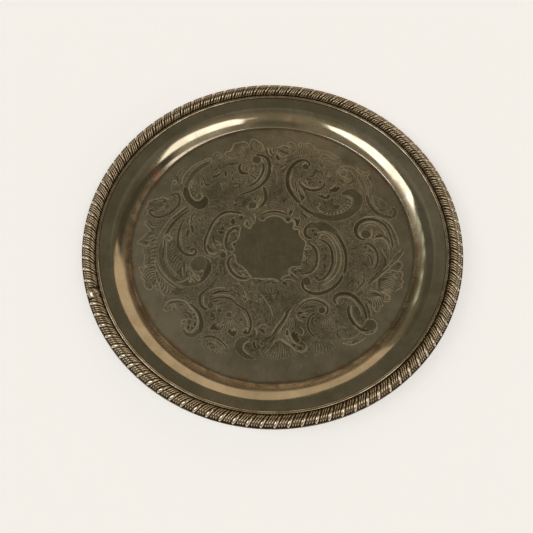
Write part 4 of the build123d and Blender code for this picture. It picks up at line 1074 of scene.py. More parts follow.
    # background texture: short leaf-like cuts that follow a slowly turning direction
    for _ in range(15000):
        x, y = rng.uniform(-112, 112, 2)
        i, jj = int((x + half) / step), int((y + half) / step)
        if base[jj, i] < 0.5:
            continue
        a = math.atan2(y, x) + 0.9 + 1.3 * math.sin(x / 17.0 + 1.3) * math.cos(y / 19.0 - 0.4) + rng.normal(0, 0.25)
        L = rng.uniform(0.6, 2.3)
        d = np.array([math.cos(a), math.sin(a)]) * L / 2
        nrm = np.array([-d[1], d[0]]) * rng.uniform(-0.25, 0.25)
        p = np.array([[x, y] - d, [x, y] + nrm, [x, y] + d])
        if rng.random() < 0.60:
            stroke(p, [rng.uniform(0.38, 0.62)], [(bright, 0.0, "cut", 0.8), (dark, 0.0, "max", rng.uniform(0.6, 1.0))])
        else:
            stroke(p, [rng.uniform(0.36, 0.55)], [(dark, 0.0, "cut", 0.8), (bright, 0.0, "max", rng.uniform(0.45, 0.95))])
    for q in sorted(lines, key=lambda s_: order[s_[0]]):
        kind = q[0]
        if kind in "OoR":
            _, c, r = q.split()
            x, y = [float(v) for v in c.split(",")]
            r = float(r)
            if kind == "R":
                t = np.linspace(0, TAU, 40)
                ring_line = np.stack([x + r * np.cos(t), y + r * np.sin(t)], -1)
                stroke(ring_line, [0.6, 0.6], acts["R"])
            else:
                stroke(np.array([[x, y], [x + 0.01, y]]), [2 * r], acts[kind])
        elif kind in "FQ":
            shape(curve(pts(q.split(None, 2)[2]), True, 4), acts[kind])
        elif kind == "V":
            head, A, B, bend = q.split("|")
            _, k2, m, w = head.split()
            A, B = along(pts(A), int(m)), along(pts(B), int(m))
            for a, b in zip(A, B):
                d = b - a
                mid = (a + b) / 2 + np.array([-d[1], d[0]]) * 0.25 * float(bend) + rng.normal(0, 0.08, 2)
                stroke(curve(np.array([a, mid, b]) + rng.normal(0, 0.1, (3, 2))), [float(w), float(w) * 0.6], acts[k2])
        elif kind == "T":
            head, A = q.split("|")
            _, k2, m, w, ln, ang = head.split()
            poly = pts(A)
            lo, hi = poly.min(0), poly.max(0)
            made = 0
            for _ in range(int(m) * 6):
                if made >= int(m):
                    break
                x, y = rng.uniform(lo, hi)
                ins = False
                for k in range(len(poly)):
                    a, b = poly[k], poly[(k + 1) % len(poly)]
                    if (a[1] > y) != (b[1] > y) and x < (b[0] - a[0]) * (y - a[1]) / (b[1] - a[1]) + a[0]:
                        ins = not ins
                if not ins:
                    continue
                made += 1
                th = rad(float(ang)) + rng.normal(0, 0.3)
                L = float(ln) * rng.uniform(0.6, 1.3) / 2
                d = np.array([math.cos(th), math.sin(th)]) * L
                p = np.array([[x, y] - d, np.array([x, y]) + np.array([-d[1], d[0]]) * rng.uniform(-0.3, 0.3), [x, y] + d])
                stroke(p, [float(w) * rng.uniform(0.7, 1.2)], acts[k2])
        else:
            _, w, rest = q.split(None, 2)
            p = pts(rest)
            line = curve(p) if len(p) > 2 else p
            stroke(line, [float(v) for v in w.split("/")], acts[kind])
    return half, step, base, dark, bright


half, step, lay_ground, lay_dark, lay_bright = ornament_layers()


def soften(layer):
    p = np.pad(layer, 1, mode="edge")
    return (p[:-2, 1:-1] + p[2:, 1:-1] + p[1:-1, :-2] + p[1:-1, 2:] + 4 * p[1:-1, 1:-1]) / 8


def sample(layer, x, y):
    gx = np.clip((x + half) / step, 0, layer.shape[1] - 1.001)
    gy = np.clip((y + half) / step, 0, layer.shape[0] - 1.001)
    i, k = gx.astype(int), gy.astype(int)
    fx, fy = gx - i, gy - k
    return ((layer[k, i] * (1 - fx) + layer[k, i + 1] * fx) * (1 - fy) + (layer[k + 1, i] * (1 - fx) + layer[k + 1, i + 1] * fx) * fy)


P, tri = disc_mesh()
radius = np.hypot(P[:, 0], P[:, 1])
cut_ground = sample(soften(lay_ground), P[:, 0], P[:, 1])
cut_dark = sample(soften(lay_dark), P[:, 0], P[:, 1])
cut_bright = sample(soften(lay_bright), P[:, 0], P[:, 1])
middle = (1 - cut_ground) * np.clip((40 - radius) / 3, 0, 1)
edge_fade = np.clip((DISC_R - radius) / 1.5, 0, 1)
relief = (0.022 * cut_bright - 0.03 * cut_dark - 0.012 * cut_ground) * edge_fade
relief += 0.03 * smooth_noise(P[:, 0] + 200, P[:, 1] + 200, 26.0, 5, 3) * edge_fade
floor_co = np.column_stack([P, FLOOR_Z + relief])
plate_floor = make_mesh("plate_floor", floor_co, tri, {"ground": cut_ground, "dark": cut_dark, "bright": cut_bright, "middle": middle})

# ------------------------------------------------------------------ bead moulding
def bead_profile():
    a = np.array([141.7, flange_z(141.7)])
    b = np.array([144.3, flange_z(144.3)])
    m = (a + b) / 2
    ax = (b - a) / 2
    n = np.array([-ax[1], ax[0]]) / np.linalg.norm(ax)
    pts = []
    for t in np.linspace(math.pi, 0, 15):
        pts.append(tuple(m + ax * math.cos(t) + n * 0.95 * math.sin(t)))
    low = [tuple(b - n * 0.25), tuple(a - n * 0.25)]
    return pts + low


co, quads = revolve("bead_moulding", bead_profile(), 1440)
bead = make_mesh("bead_line", co, quads[:, ::-1])

# ------------------------------------------------------------------ rim wire
wire_pts = [(154.0, 12.95), (154.3, 13.15), (154.75, 13.25), (155.1, 13.2), (155.35, 13.02), (155.47, 12.75),
            (155.5, 12.45), (155.5, 12.2), (155.44, 12.0), (155.3, 11.75), (155.05, 11.6), (154.75, 11.55), (154.0, 11.55)]
co, quads = revolve("rim_edge", wire_pts, 1440)
wire = make_mesh("rim_edge", co, quads[:, ::-1])

# ------------------------------------------------------------------ gadroon border
PITCHES = 94
NV = 40
NU = 56
PHI0 = rad(-7.7)
SEAM_AT = rad(200.1)
GROOVE = 1.6


def strip_envelope(v):
    """Outer contour of the strip, v 0 at the inner foot to 1 at the outer foot: (r, z)."""
    vv = [0.0, 0.05, 0.12, 0.22, 0.34, 0.48, 0.60, 0.72, 0.82, 0.90, 0.95, 1.0]
    rr = [144.95, 145.02, 145.4, 146.2, 147.4, 149.1, 150.7, 152.2, 153.5, 154.5, 155.0, 154.9]
    zz = [12.75, 13.9, 15.0, 15.95, 16.75, 17.2, 17.05, 16.5, 15.75, 14.85, 14.0, 13.1]
    return np.interp(v, vv, rr), np.interp(v, vv, zz)


def round_ridge(d):
    return np.where(d < 1, np.sqrt(np.clip(1 - d * d, 0, 1)), 0)


def gadroon_height(u, v):
    """Lift 0..1 of the relief at (u, v); u in pitches, fat lobe at u = 0, thin reeds between the lobes."""
    e = np.clip(v / 0.96, 0, 1)
    slant = 0.58 * (1 - (0.5 * e + 0.5 * e * e * (3 - 2 * e)))
    s = (u - slant + 0.5) % 1.0 - 0.5
    # fat lobe: long round head outside, tapering tail inside
    grow = np.clip((v - 0.03) / 0.60, 0, 1)
    w = 0.052 + 0.128 * grow ** 1.1
    tip = np.clip((v - 0.74) / 0.245, 0, 1)
    w = w * np.sqrt(np.clip(1 - tip ** 2, 0.0, 1)) + 1e-4
    lobe = round_ridge(np.abs(s) / w) * np.clip(0.82 + 0.20 * grow, 0, 1)
    # three reeds between the lobes, each ending outside in a small arch with a pit in it
    reeds = np.zeros_like(u)
    for c in (0.315, 0.5, 0.685):
        c = 0.5 + (c - 0.5) * (1.16 - 0.16 * v)
        t = (u - slant - c + 0.5) % 1.0 - 0.5
        end = np.clip((v - 0.76) / 0.15, 0, 1)
        wr = 0.088 * np.sqrt(np.clip(1 - end ** 2, 0, 1)) + 1e-4
        body = 0.12 * (np.abs(t) < wr) + 0.88 * round_ridge(np.abs(t) / wr) ** 1.15
        pit = np.exp(-(t / 0.040) ** 2 - ((v - 0.775) / 0.05) ** 2)
        reeds = np.maximum(reeds, body * (1 - 0.95 * pit))
    lip = np.exp(-((np.abs(s) - w - 0.05) / 0.024) ** 2) * np.clip((v - 0.70) / 0.12, 0, 1) * np.clip((0.97 - v) / 0.04, 0, 1)
    rim = np.exp(-((v - 0.94) / 0.018) ** 2) * 0.5
    inner = np.exp(-((v - 0.035) / 0.03) ** 2) * 0.35
    return np.clip(np.maximum.reduce([lobe, 0.90 * reeds, 0.5 * lip, rim, inner]), 0, 1)


def gadroon():
    n = PITCHES * NU
    a = np.arange(n) / NU
    v = np.linspace(0, 1, NV)
    V, U = np.meshgrid(v, a, indexing="ij")
    phi = PHI0 + U / PITCHES * TAU
    # the die was cut by hand: no two lobes quite alike
    lobe_rng = np.random.default_rng(11)
    shift = lobe_rng.normal(0, 0.018, PITCHES + 1)
    wear = lobe_rng.uniform(0.0, 1.0, PITCHES + 1)
    shift[-1], wear[-1] = shift[0], wear[0]
    k = np.floor(U).astype(int) % PITCHES
    f = U - np.floor(U)
    drift = shift[k] * (1 - f) + shift[k + 1] * f
    worn = wear[k] * (1 - f) + wear[k + 1] * f
    h = gadroon_height(U + drift, V)
    # round the closing joint the pattern runs into one broad, smeared lobe
    ds = (phi - SEAM_AT + math.pi) % TAU - math.pi
    ds = ds / TAU * PITCHES
    broad = round_ridge(np.abs(ds - 0.30 * (0.6 - V)) / 0.46) * np.clip((0.99 - V) / 0.12, 0, 1) * np.clip(V / 0.1, 0, 1)
    near = np.clip((0.55 - np.abs(ds)) / 0.16, 0, 1)
    h = h * (1 - near) + near * (0.9 * broad + 0.12 * np.sin(ds * 13 + V * 5) * np.clip(0.8 - V, 0, 1))
    h = np.clip(h, 0, 1)
    x, y = np.cos(phi) * 150, np.sin(phi) * 150
    grain = smooth_noise(x + 400 + 9 * V, y + 400 + 9 * V, 1.6, 77, 2)
    h2 = np.clip(h + 0.035 * grain, 0, 1)
    depth = (GROOVE - 0.22 * worn) * (1 - h2) * np.clip(np.minimum(V / 0.05, (1 - V) / 0.03), 0.12, 1)
    depth = np.maximum(depth, 0.12 * near)
    R, Z = strip_envelope(V)
    er, ez = strip_envelope(np.clip(V + 0.015, 0, 1))
    sr, sz = strip_envelope(np.clip(V - 0.015, 0, 1))
    tr, tz = er - sr, ez - sz
    L = np.hypot(tr, tz) + 1e-9
    R = R + tz / L * depth
    Z = Z - tr / L * depth
    co = np.stack([R * np.cos(phi), R * np.sin(phi), Z], -1).reshape(-1, 3)
    quads = ring_quads(NV, n, False)[:, ::-1]
    back = []
    for r, z in ((154.1, SEAT_Z + 0.02), (145.1, SEAT_Z + 0.02)):
        back.append(np.stack([r * np.cos(phi[0]), r * np.sin(phi[0]), np.full(n, z)], -1))
    n0 = len(co)
    co = np.vstack([co] + back)
    j = np.arange(n)
    j2 = (j + 1) % n
    last_row = (NV - 1) * n
    q1 = np.stack([last_row + j, last_row + j2, n0 + j2, n0 + j], -1)
    q2 = np.stack([n0 + j, n0 + j2, n0 + n + j2, n0 + n + j], -1)
    q3 = np.stack([n0 + n + j, n0 + n + j2, j2, j], -1)
    lift = np.concatenate([h.ravel(), np.zeros(2 * n)])
    across = np.concatenate([V.ravel(), np.ones(n), np.zeros(n)])
    joint = np.concatenate([near.ravel(), np.zeros(2 * n)])
    return co, np.vstack([quads, q1, q2, q3]), {"lift": lift, "across": across, "joint": joint}


co, quads, at = gadroon()
border = make_mesh("gadroon_strip", co, quads, at)

# ------------------------------------------------------------------ solder behind the strip, and the closing joint
fill_section = [(146.3, 12.66), (147.6, 14.2), (149.2, 14.9), (151.2, 14.3), (152.8, 12.66), (149.5, 12.66)]
co, quads = revolve("strip_fill", fill_section, 720)
fill = make_mesh("strip_fill", co, quads[:, ::-1])


def seam_ridge():
    """A thin line of solder that crosses the strip, a hair proud of the smeared lobe round it."""
    v = np.linspace(0.05, 0.95, 34)
    R, Z = strip_envelope(v)
    top = np.stack([R, Z - 0.05], -1)
    low = np.stack([R[::-1].clip(145.6, 153.9), np.full(len(v), SEAT_Z + 0.03)], -1)
    section = np.vstack([top, low])
    steps = 9
    rows = []
    for i in range(steps):
        t = i / (steps - 1) * 2 - 1
        ang = SEAM_AT + t * 0.62 / 150.0 + 0.0
        lean = (0.30 * (0.6 - np.concatenate([v, v[::-1]]))) * TAU / PITCHES
        drop = 0.30 * t * t + 0.03 * math.sin(5 * t)
        s = section.copy()
        s[:len(v), 1] -= drop
        rows.append(np.stack([s[:, 0] * np.cos(ang + lean), s[:, 0] * np.sin(ang + lean), s[:, 1]], -1))
    co = np.vstack(rows)
    m = len(section)
    i, j = np.meshgrid(np.arange(steps - 1), np.arange(m), indexing="ij")
    j2 = (j + 1) % m
    quads = np.stack([i * m + j, i * m + j2, (i + 1) * m + j2, (i + 1) * m + j], -1).reshape(-1, 4)
    c = len(v)
    k = np.arange(c - 1)
    cap0 = np.stack([k, m - 1 - k, m - 2 - k, k + 1], -1)
    o = (steps - 1) * m
    cap1 = np.stack([o + k, o + k + 1, o + m - 2 - k, o + m - 1 - k], -1)
    return co, np.vstack([quads, cap0, cap1])


co, quads = seam_ridge()
seam = make_mesh("seam_line", co, quads[:, ::-1])

# ------------------------------------------------------------------ materials
class Nodes:
    """Small helper to lay down shader nodes; positions are in the object's own millimetres."""

    def __init__(self, name):
        self.mat = bpy.data.materials.new(name)
        self.mat.use_nodes = True
        self.nt = self.mat.node_tree
        self.nt.nodes.clear()
        out = self.nt.nodes.new("ShaderNodeOutputMaterial")
        self.shader = self.nt.nodes.new("ShaderNodeBsdfPrincipled")
        self.nt.links.new(self.shader.outputs[0], out.inputs[0])
        tc = self.nt.nodes.new("ShaderNodeTexCoord")
        sc = self.nt.nodes.new("ShaderNodeVectorMath")
        sc.operation = "SCALE"
        sc.inputs["Scale"].default_value = 1000.0
        self.nt.links.new(tc.outputs["Object"], sc.inputs[0])
        self.mm = sc.outputs[0]
        sep = self.nt.nodes.new("ShaderNodeSeparateXYZ")
        self.nt.links.new(self.mm, sep.inputs[0])
        self.x, self.y, self.z = sep.outputs

    def link(self, v, sock):
        if isinstance(v, bpy.types.NodeSocket):
            self.nt.links.new(v, sock)
        elif isinstance(v, tuple):
            sock.default_value = (*v, 1) if len(v) == 3 and sock.type == "RGBA" else v
        else:
            sock.default_value = v

    def math(self, op, a, b=None, c=None, clamp=False):
        n = self.nt.nodes.new("ShaderNodeMath")
        n.operation = op
        n.use_clamp = clamp
        for i, v in enumerate((a, b, c)):
            if v is not None:
                self.link(v, n.inputs[i])
        return n.outputs[0]

    def ramp(self, x, a, b, lo=0.0, hi=1.0):
        n = self.nt.nodes.new("ShaderNodeMapRange")
        n.interpolation_type = "SMOOTHSTEP"
        self.link(x, n.inputs["Value"])
        n.inputs["From Min"].default_value = a
        n.inputs["From Max"].default_value = b
        n.inputs["To Min"].default_value = lo
        n.inputs["To Max"].default_value = hi
        return n.outputs[0]

    def noise(self, scale, detail=4.0, rough=0.55, offset=(0, 0, 0), stretch=(1, 1, 1), turn=0.0, distort=0.0):
        m = self.nt.nodes.new("ShaderNodeMapping")
        self.nt.links.new(self.mm, m.inputs["Vector"])
        m.inputs["Location"].default_value = offset
        m.inputs["Rotation"].default_value = (0, 0, turn)
        m.inputs["Scale"].default_value = tuple(q / scale for q in stretch)
        n = self.nt.nodes.new("ShaderNodeTexNoise")
        self.nt.links.new(m.outputs[0], n.inputs["Vector"])
        n.inputs["Scale"].default_value = 1.0
        n.inputs["Detail"].default_value = detail
        n.inputs["Roughness"].default_value = rough
        n.inputs["Distortion"].default_value = distort
        return n.outputs[0]

    def mix(self, f, a, b, blend="MIX"):
        n = self.nt.nodes.new("ShaderNodeMix")
        n.data_type = "RGBA"
        n.blend_type = blend
        self.link(f, n.inputs["Factor"])
        for k, v in (("A", a), ("B", b)):
            self.link(v, [q for q in n.inputs if q.name == k and q.type == "RGBA"][0])
        return [q for q in n.outputs if q.type == "RGBA"][0]

    def attr(self, name):
        n = self.nt.nodes.new("ShaderNodeAttribute")
        n.attribute_name = name
        return n.outputs["Fac"]

    def radius(self):
        return self.math("SQRT", self.math("ADD", self.math("MULTIPLY", self.x, self.x), self.math("MULTIPLY", self.y, self.y)))

    def near(self, x0, y0, r0, r1):
        """1 inside r0 of the point, 0 outside r1."""
        dx = self.math("SUBTRACT", self.x, x0)
        dy = self.math("SUBTRACT", self.y, y0)
        d = self.math("SQRT", self.math("ADD", self.math("MULTIPLY", dx, dx), self.math("MULTIPLY", dy, dy)))
        return self.ramp(d, r0, r1, 1.0, 0.0)

    def scratches(self, seed):
        """Fine swirled use marks: thin bands of stretched noise in several directions, 0..1."""
        out = None
        for k, (turn, scale) in enumerate(((0.35, 1.3), (1.25, 1.0), (2.25, 1.6), (2.9, 0.9))):
            n = self.noise(scale, 2.0, 0.5, (seed + 7 * k, 3 * k, 0), (1.0, 0.035, 1.0), turn, 0.15)
            line = self.ramp(self.math("ABSOLUTE", self.math("SUBTRACT", n, 0.5)), 0.0, 0.022, 1.0, 0.0)
            gate = self.ramp(self.noise(17.0, 2.0, 0.5, (seed * 2 + 11 * k, 5, 0)), 0.50, 0.62)
            line = self.math("MULTIPLY", line, gate)
            out = line if out is None else self.math("MAXIMUM", out, line)
        return out

    def bump(self, height, strength, distance, under=None):
        n = self.nt.nodes.new("ShaderNodeBump")
        n.inputs["Strength"].default_value = strength
        n.inputs["Distance"].default_value = distance
        self.link(height, n.inputs["Height"])
        if under is not None:
            self.nt.links.new(under, n.inputs["Normal"])
        return n.outputs[0]

    def finish(self, colour, rough, metallic=1.0, normal=None):
        self.link(colour, self.shader.inputs["Base Color"])
        self.link(rough, self.shader.inputs["Roughness"])
        self.link(metallic, self.shader.inputs["Metallic"])
        if normal is not None:
            self.nt.links.new(normal, self.shader.inputs["Normal"])
        return self.mat


SILVER_A = (0.54, 0.480, 0.370)
SILVER_B = (0.68, 0.600, 0.475)
COPPER = (0.62, 0.31, 0.185)
BROWN = (0.20, 0.150, 0.095)


def tarnished(n, seed):
    """Cloudy tarnish over old plate: warm grey silver with browner and brighter patches."""
    cloud = n.noise(30.0, 5.0, 0.6, (seed, 2, 0))
    spot = n.noise(5.5, 5.0, 0.65, (seed + 3, 9, 0))
    col = n.mix(n.ramp(cloud, 0.36, 0.64), SILVER_A, SILVER_B)
    col = n.mix(n.ramp(spot, 0.50, 0.72, 0.0, 0.35), col, (0.40, 0.335, 0.235))
    return col, cloud, spot


# floor of the well
n = Nodes("well_silver")
col, cloud, spot = tarnished(n, 4.0)
col = n.mix(n.ramp(n.noise(11.0, 5.0, 0.6, (31, 8, 0)), 0.38, 0.68, 0.05, 0.62), col, (0.74, 0.65, 0.515))
r = n.radius()
ground, dark, bright, middle = (n.attr(q) for q in ("ground", "dark", "bright", "middle"))
speck = n.noise(0.9, 3.0, 0.7, (8, 1, 0))
col = n.mix(n.ramp(cloud, 0.3, 0.7, 0.25, 0.95), col, n.mix(n.math("MULTIPLY", middle, n.ramp(spot, 0.35, 0.65, 0.60, 1.0)), col, (0.365, 0.325, 0.235)))
col = n.mix(n.math("MULTIPLY", n.ramp(speck, 0.42, 0.66), n.math("MULTIPLY", ground, 0.60)), col, (0.30, 0.245, 0.16))
col = n.mix(n.math("MULTIPLY", bright, 0.74), col, (0.90, 0.80, 0.61))
col = n.mix(n.math("MULTIPLY", dark, 0.80), col, n.mix(n.ramp(spot, 0.3, 0.7), (0.21, 0.175, 0.115), (0.35, 0.295, 0.20)))
scr = n.scratches(2.0)
col = n.mix(n.math("MULTIPLY", scr, 0.28), col, (0.80, 0.72, 0.56))
# the plating is worn through to copper where cloths run against the crease
worn = n.math("MULTIPLY", n.ramp(r, 112.5, 117.0), n.ramp(n.noise(14.0, 4.0, 0.6, (3, 8, 0)), 0.47, 0.62))
worn = n.math("MAXIMUM", worn, n.math("MULTIPLY", n.near(-103, 65, 1.5, 7.0), n.ramp(n.noise(3.0, 4.0, 0.6, (1, 8, 0)), 0.38, 0.58)))
col = n.mix(n.math("MULTIPLY", worn, 0.75), col, COPPER)
col = n.mix(n.ramp(r, 114.8, 117.4, 0.0, 0.55), col, BROWN)
rough = n.math("ADD", n.ramp(cloud, 0.3, 0.7, 0.13, 0.20), n.math("MULTIPLY", ground, 0.07))
rough = n.math("ADD", rough, n.math("MULTIPLY", bright, 0.14))
rough = n.math("SUBTRACT", rough, n.math("MULTIPLY", dark, 0.10))
rough = n.math("ADD", rough, n.math("MULTIPLY", scr, 0.08))
nrm = n.bump(n.math("SUBTRACT", n.math("MULTIPLY", speck, ground), n.math("MULTIPLY", scr, 0.35)), 0.35, 0.00004)
nrm = n.bump(n.noise(2.4, 4.0, 0.6, (5, 5, 0)), 0.10, 0.00006, nrm)
mat_floor = n.finish(col, rough, 1.0, nrm)

# side of the well and the flange
n = Nodes("wall_silver")
col, cloud, spot = tarnished(n, 21.0)
r = n.radius()
scr = n.scratches(31.0)
smear = n.noise(16.0, 2.0, 0.5, (9, 31, 0), (1, 1, 1), 0.0, 0.8)
col = n.mix(n.ramp(smear, 0.53, 0.74, 0.0, 0.38), col, (0.40, 0.325, 0.225))
col = n.mix(n.math("MULTIPLY", scr, 0.25), col, (0.84, 0.76, 0.60))
ang = n.noise(26.0, 2.0, 0.5, (40, 3, 0))
low = n.ramp(r, 123.5, 118.6)
left = n.ramp(n.x, -60.0, -112.0)
worn = n.math("MULTIPLY", low, n.ramp(ang, 0.42, 0.58))
# side: the near side and the left and right flanks of the well; it gates the copper wear and the painted shade near the
# crease, and where it is low the painted crease highlight goes
side = n.math("MAXIMUM", n.ramp(n.y, 30.0, -40.0), n.ramp(n.math("ABSOLUTE", n.x), 92.0, 108.0))
worn = n.math("MULTIPLY", worn, n.math("MULTIPLY", side, n.math("ADD", n.math("MULTIPLY", left, 0.4), 0.6)))
col = n.mix(n.math("MULTIPLY", worn, 0.42), col, (0.52, 0.30, 0.18))
rub = n.math("MULTIPLY", n.near(-103, 65, 2.0, 7.5), n.ramp(n.noise(3.0, 4.0, 0.6, (1, 8, 0)), 0.36, 0.55))
col = n.mix(rub, col, (0.90, 0.50, 0.37))
# painted shade: darker brown towards the crease on the near side and the left and right flanks of the well
col = n.mix(n.math("MULTIPLY", side, n.math("MULTIPLY", n.ramp(r, 126.0, 119.5), n.ramp(smear, 0.40, 0.60, 0.15, 0.65))), col, BROWN)
# painted highlight: a bright line along the crease on the far side of the well
line = n.math("MULTIPLY", n.ramp(r, 118.9, 118.6), n.ramp(r, 117.7, 117.95))
col = n.mix(n.math("MULTIPLY", line, n.ramp(side, 0.2, 0.8, 0.85, 0.0)), col, (1.0, 0.90, 0.80))
# darker along the foot of the bead line and at the outer seat
col = n.mix(n.math("MULTIPLY", n.ramp(n.math("ABSOLUTE", n.math("SUBTRACT", r, 141.75)), 0.6, 0.1), 0.65), col, (0.085, 0.062, 0.036))
col = n.mix(n.ramp(r, 144.0, 144.7), col, (0.06, 0.045, 0.028))
under = n.ramp(n.z, 0.6, 0.2)
col = n.mix(n.math("MULTIPLY", under, n.ramp(r, 118.5, 117.9)), col, n.mix(n.ramp(cloud, 0.35, 0.65), (0.50, 0.42, 0.30), (0.36, 0.28, 0.18)))
rough = n.ramp(smear, 0.35, 0.75, 0.07, 0.14)
rough = n.math("ADD", rough, n.math("MULTIPLY", scr, 0.06))
rough = n.math("ADD", rough, n.math("MULTIPLY", under, 0.16))
rough = n.math("ADD", rough, n.math("MULTIPLY", side, n.ramp(r, 125.5, 121.0, 0.0, 0.17)))
nrm = n.bump(n.math("MULTIPLY", scr, -0.5), 0.015, 0.00001)
nrm = n.bump(n.noise(12.0, 1.0, 0.4, (5, 15, 0)), 0.02, 0.00005, nrm)
mat_wall = n.finish(col, rough, 1.0, nrm)

# bead line
n = Nodes("bead_silver")
spot = n.noise(9.0, 2.0, 0.5, (6, 3, 0))
r = n.radius()
col = n.mix(n.ramp(spot, 0.38, 0.64), (0.72, 0.64, 0.51), (0.46, 0.37, 0.25))
side = n.math("MAXIMUM", n.ramp(r, 142.25, 141.8), n.ramp(r, 143.8, 144.25))
col = n.mix(n.math("MULTIPLY", side, 0.8), col, (0.09, 0.066, 0.04))
rough = n.ramp(spot, 0.3, 0.7, 0.15, 0.28)
nrm = n.bump(n.noise(4.0, 1.0, 0.5, (2, 2, 0)), 0.02, 0.00003)
mat_bead = n.finish(col, rough, 1.0, nrm)

# gadroon strip
n = Nodes("gadroon_silver")
lift, across, joint = (n.attr(q) for q in ("lift", "across", "joint"))
spot = n.noise(1.5, 4.0, 0.65, (6, 13, 0))
broad = n.noise(34.0, 3.0, 0.6, (2, 13, 0))
col = n.mix(n.ramp(broad, 0.36, 0.64), (0.62, 0.49, 0.33), (0.76, 0.63, 0.46))
col = n.mix(n.ramp(spot, 0.48, 0.70, 0.0, 0.40), col, (0.44, 0.32, 0.19))
dirt = n.math("ADD", lift, n.math("MULTIPLY", n.math("SUBTRACT", spot, 0.5), 0.35))
cover = n.ramp(dirt, 0.36, 0.68, 1.0, 0.0)
col = n.mix(cover, col, n.mix(n.ramp(spot, 0.35, 0.65), (0.022, 0.015, 0.009), (0.060, 0.042, 0.024)))
col = n.mix(n.math("MULTIPLY", n.ramp(dirt, 0.82, 0.99), 0.62), col, (0.97, 0.93, 0.84))
rough = n.math("ADD", n.ramp(lift, 0.40, 0.95, 0.40, 0.11), n.ramp(spot, 0.4, 0.7, 0.0, 0.08))
metal = n.ramp(cover, 0.3, 1.0, 1.0, 0.25)
nrm = n.bump(n.noise(0.8, 3.0, 0.6, (2, 12, 0)), 0.10, 0.00004)
mat_border = n.finish(col, rough, metal, nrm)

# rim wire: dark patina with old polish, darkened further as painted shade under the gadroon heads
n = Nodes("wire_patina_and_painted_shade")
spot = n.noise(3.0, 5.0, 0.65, (61, 3, 0))
col = n.mix(n.ramp(spot, 0.40, 0.66), (0.115, 0.085, 0.050), (0.26, 0.205, 0.135))
# painted reflection: lighter towards the underside, where the pale table shows
col = n.mix(n.ramp(n.z, 12.4, 11.9, 0.0, 0.6), col, (0.42, 0.35, 0.25))
rough = n.ramp(spot, 0.3, 0.7, 0.34, 0.24)
nrm = n.bump(n.noise(1.0, 3.0, 0.6, (22, 2, 0)), 0.25, 0.00004)
mat_wire = n.finish(col, rough, 1.0, nrm)

# solder
n = Nodes("solder_grey")
spot = n.noise(1.1, 5.0, 0.65, (61, 33, 0))
col = n.mix(n.ramp(spot, 0.36, 0.64), (0.50, 0.46, 0.40), (0.74, 0.69, 0.58))
rough = n.ramp(spot, 0.3, 0.7, 0.24, 0.38)
nrm = n.bump(spot, 0.4, 0.00008)
mat_solder = n.finish(col, rough, 1.0, nrm)

for ob, mat in ((plate_wall, mat_wall), (plate_floor, mat_floor), (bead, mat_bead), (wire, mat_wire), (border, mat_border),
                (fill, mat_solder), (seam, mat_solder)):
    ob.data.materials.append(mat)
    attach(ob, "root")

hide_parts("plate_body")
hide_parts("plate_body")
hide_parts("bead_moulding")
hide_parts("rim_wire")
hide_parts("gadroon_border")
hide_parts("border_fill")
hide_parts("seam_solder")

# ------------------------------------------------------------------ stage, light, camera
floor_me = bpy.data.meshes.new("table")
s = 60.0
dz = -0.00005
floor_me.from_pydata([(-s, -s, dz), (s, -s, dz), (s, s, dz), (-s, s, dz)], [], [(0, 1, 2, 3)])
table = bpy.data.objects.new("table", floor_me)
bpy.context.scene.collection.objects.link(table)
m = bpy.data.materials.new("table_pale")
m.use_nodes = True
nt = m.node_tree
nt.nodes.clear()
out = nt.nodes.new("ShaderNodeOutputMaterial")
b = nt.nodes.new("ShaderNodeBsdfPrincipled")
nt.links.new(b.outputs[0], out.inputs[0])
b.inputs["Base Color"].default_value = (0.80, 0.79, 0.77, 1)
b.inputs["Roughness"].default_value = 0.9
b.inputs["Specular IOR Level"].default_value = 0.1
b.inputs["Emission Color"].default_value = (0.981, 0.974, 0.974, 1)
b.inputs["Emission Strength"].default_value = 0.549
floor_me.materials.append(m)

world = bpy.data.worlds.new("studio")
bpy.context.scene.world = world
world.use_nodes = True
wn = world.node_tree
wn.nodes.clear()


def W(kind, **inputs):
    n = wn.nodes.new(kind)
    for k, v in inputs.items():
        key = int(k[1:]) if k[0] == "i" and k[1:].isdigit() else k
        if hasattr(v, "outputs"):
            wn.links.new(v.outputs[0], n.inputs[key])
        elif isinstance(v, bpy.types.NodeSocket):
            wn.links.new(v, n.inputs[key])
        else:
            n.inputs[key].default_value = v
    return n


def wmath(op, a, b=None, c=None, clamp=False):
    n = wn.nodes.new("ShaderNodeMath")
    n.operation = op
    n.use_clamp = clamp
    for i, v in enumerate((a, b, c)):
        if v is None:
            continue
        if isinstance(v, (int, float)):
            n.inputs[i].default_value = v
        else:
            wn.links.new(v if isinstance(v, bpy.types.NodeSocket) else v.outputs[0], n.inputs[i])
    return n.outputs[0]


def wsmooth(x, a, b):
    n = wn.nodes.new("ShaderNodeMapRange")
    n.interpolation_type = "SMOOTHSTEP"
    wn.links.new(x, n.inputs["Value"])
    n.inputs["From Min"].default_value = a
    n.inputs["From Max"].default_value = b
    return n.outputs[0]


tc = wn.nodes.new("ShaderNodeTexCoord")
norm = wn.nodes.new("ShaderNodeVectorMath")
norm.operation = "NORMALIZE"
wn.links.new(tc.outputs["Generated"], norm.inputs[0])
sep = wn.nodes.new("ShaderNodeSeparateXYZ")
wn.links.new(norm.outputs[0], sep.inputs[0])
el = wmath("MULTIPLY", wmath("ARCSINE", sep.outputs[2]), 180 / math.pi)


def az_from(centre):
    """Azimuth in degrees, -180..180, measured from `centre`."""
    c, s_ = math.cos(rad(centre)), math.sin(rad(centre))
    x = wmath("ADD", wmath("MULTIPLY", sep.outputs[0], c), wmath("MULTIPLY", sep.outputs[1], s_))
    y = wmath("SUBTRACT", wmath("MULTIPLY", sep.outputs[1], c), wmath("MULTIPLY", sep.outputs[0], s_))
    return wmath("MULTIPLY", wmath("ARCTAN2", y, x), 180 / math.pi)


def window(x, lo, hi, soft):
    return wmath("MULTIPLY", wsmooth(x, lo - soft, lo + soft), wsmooth(x, hi + soft, hi - soft))


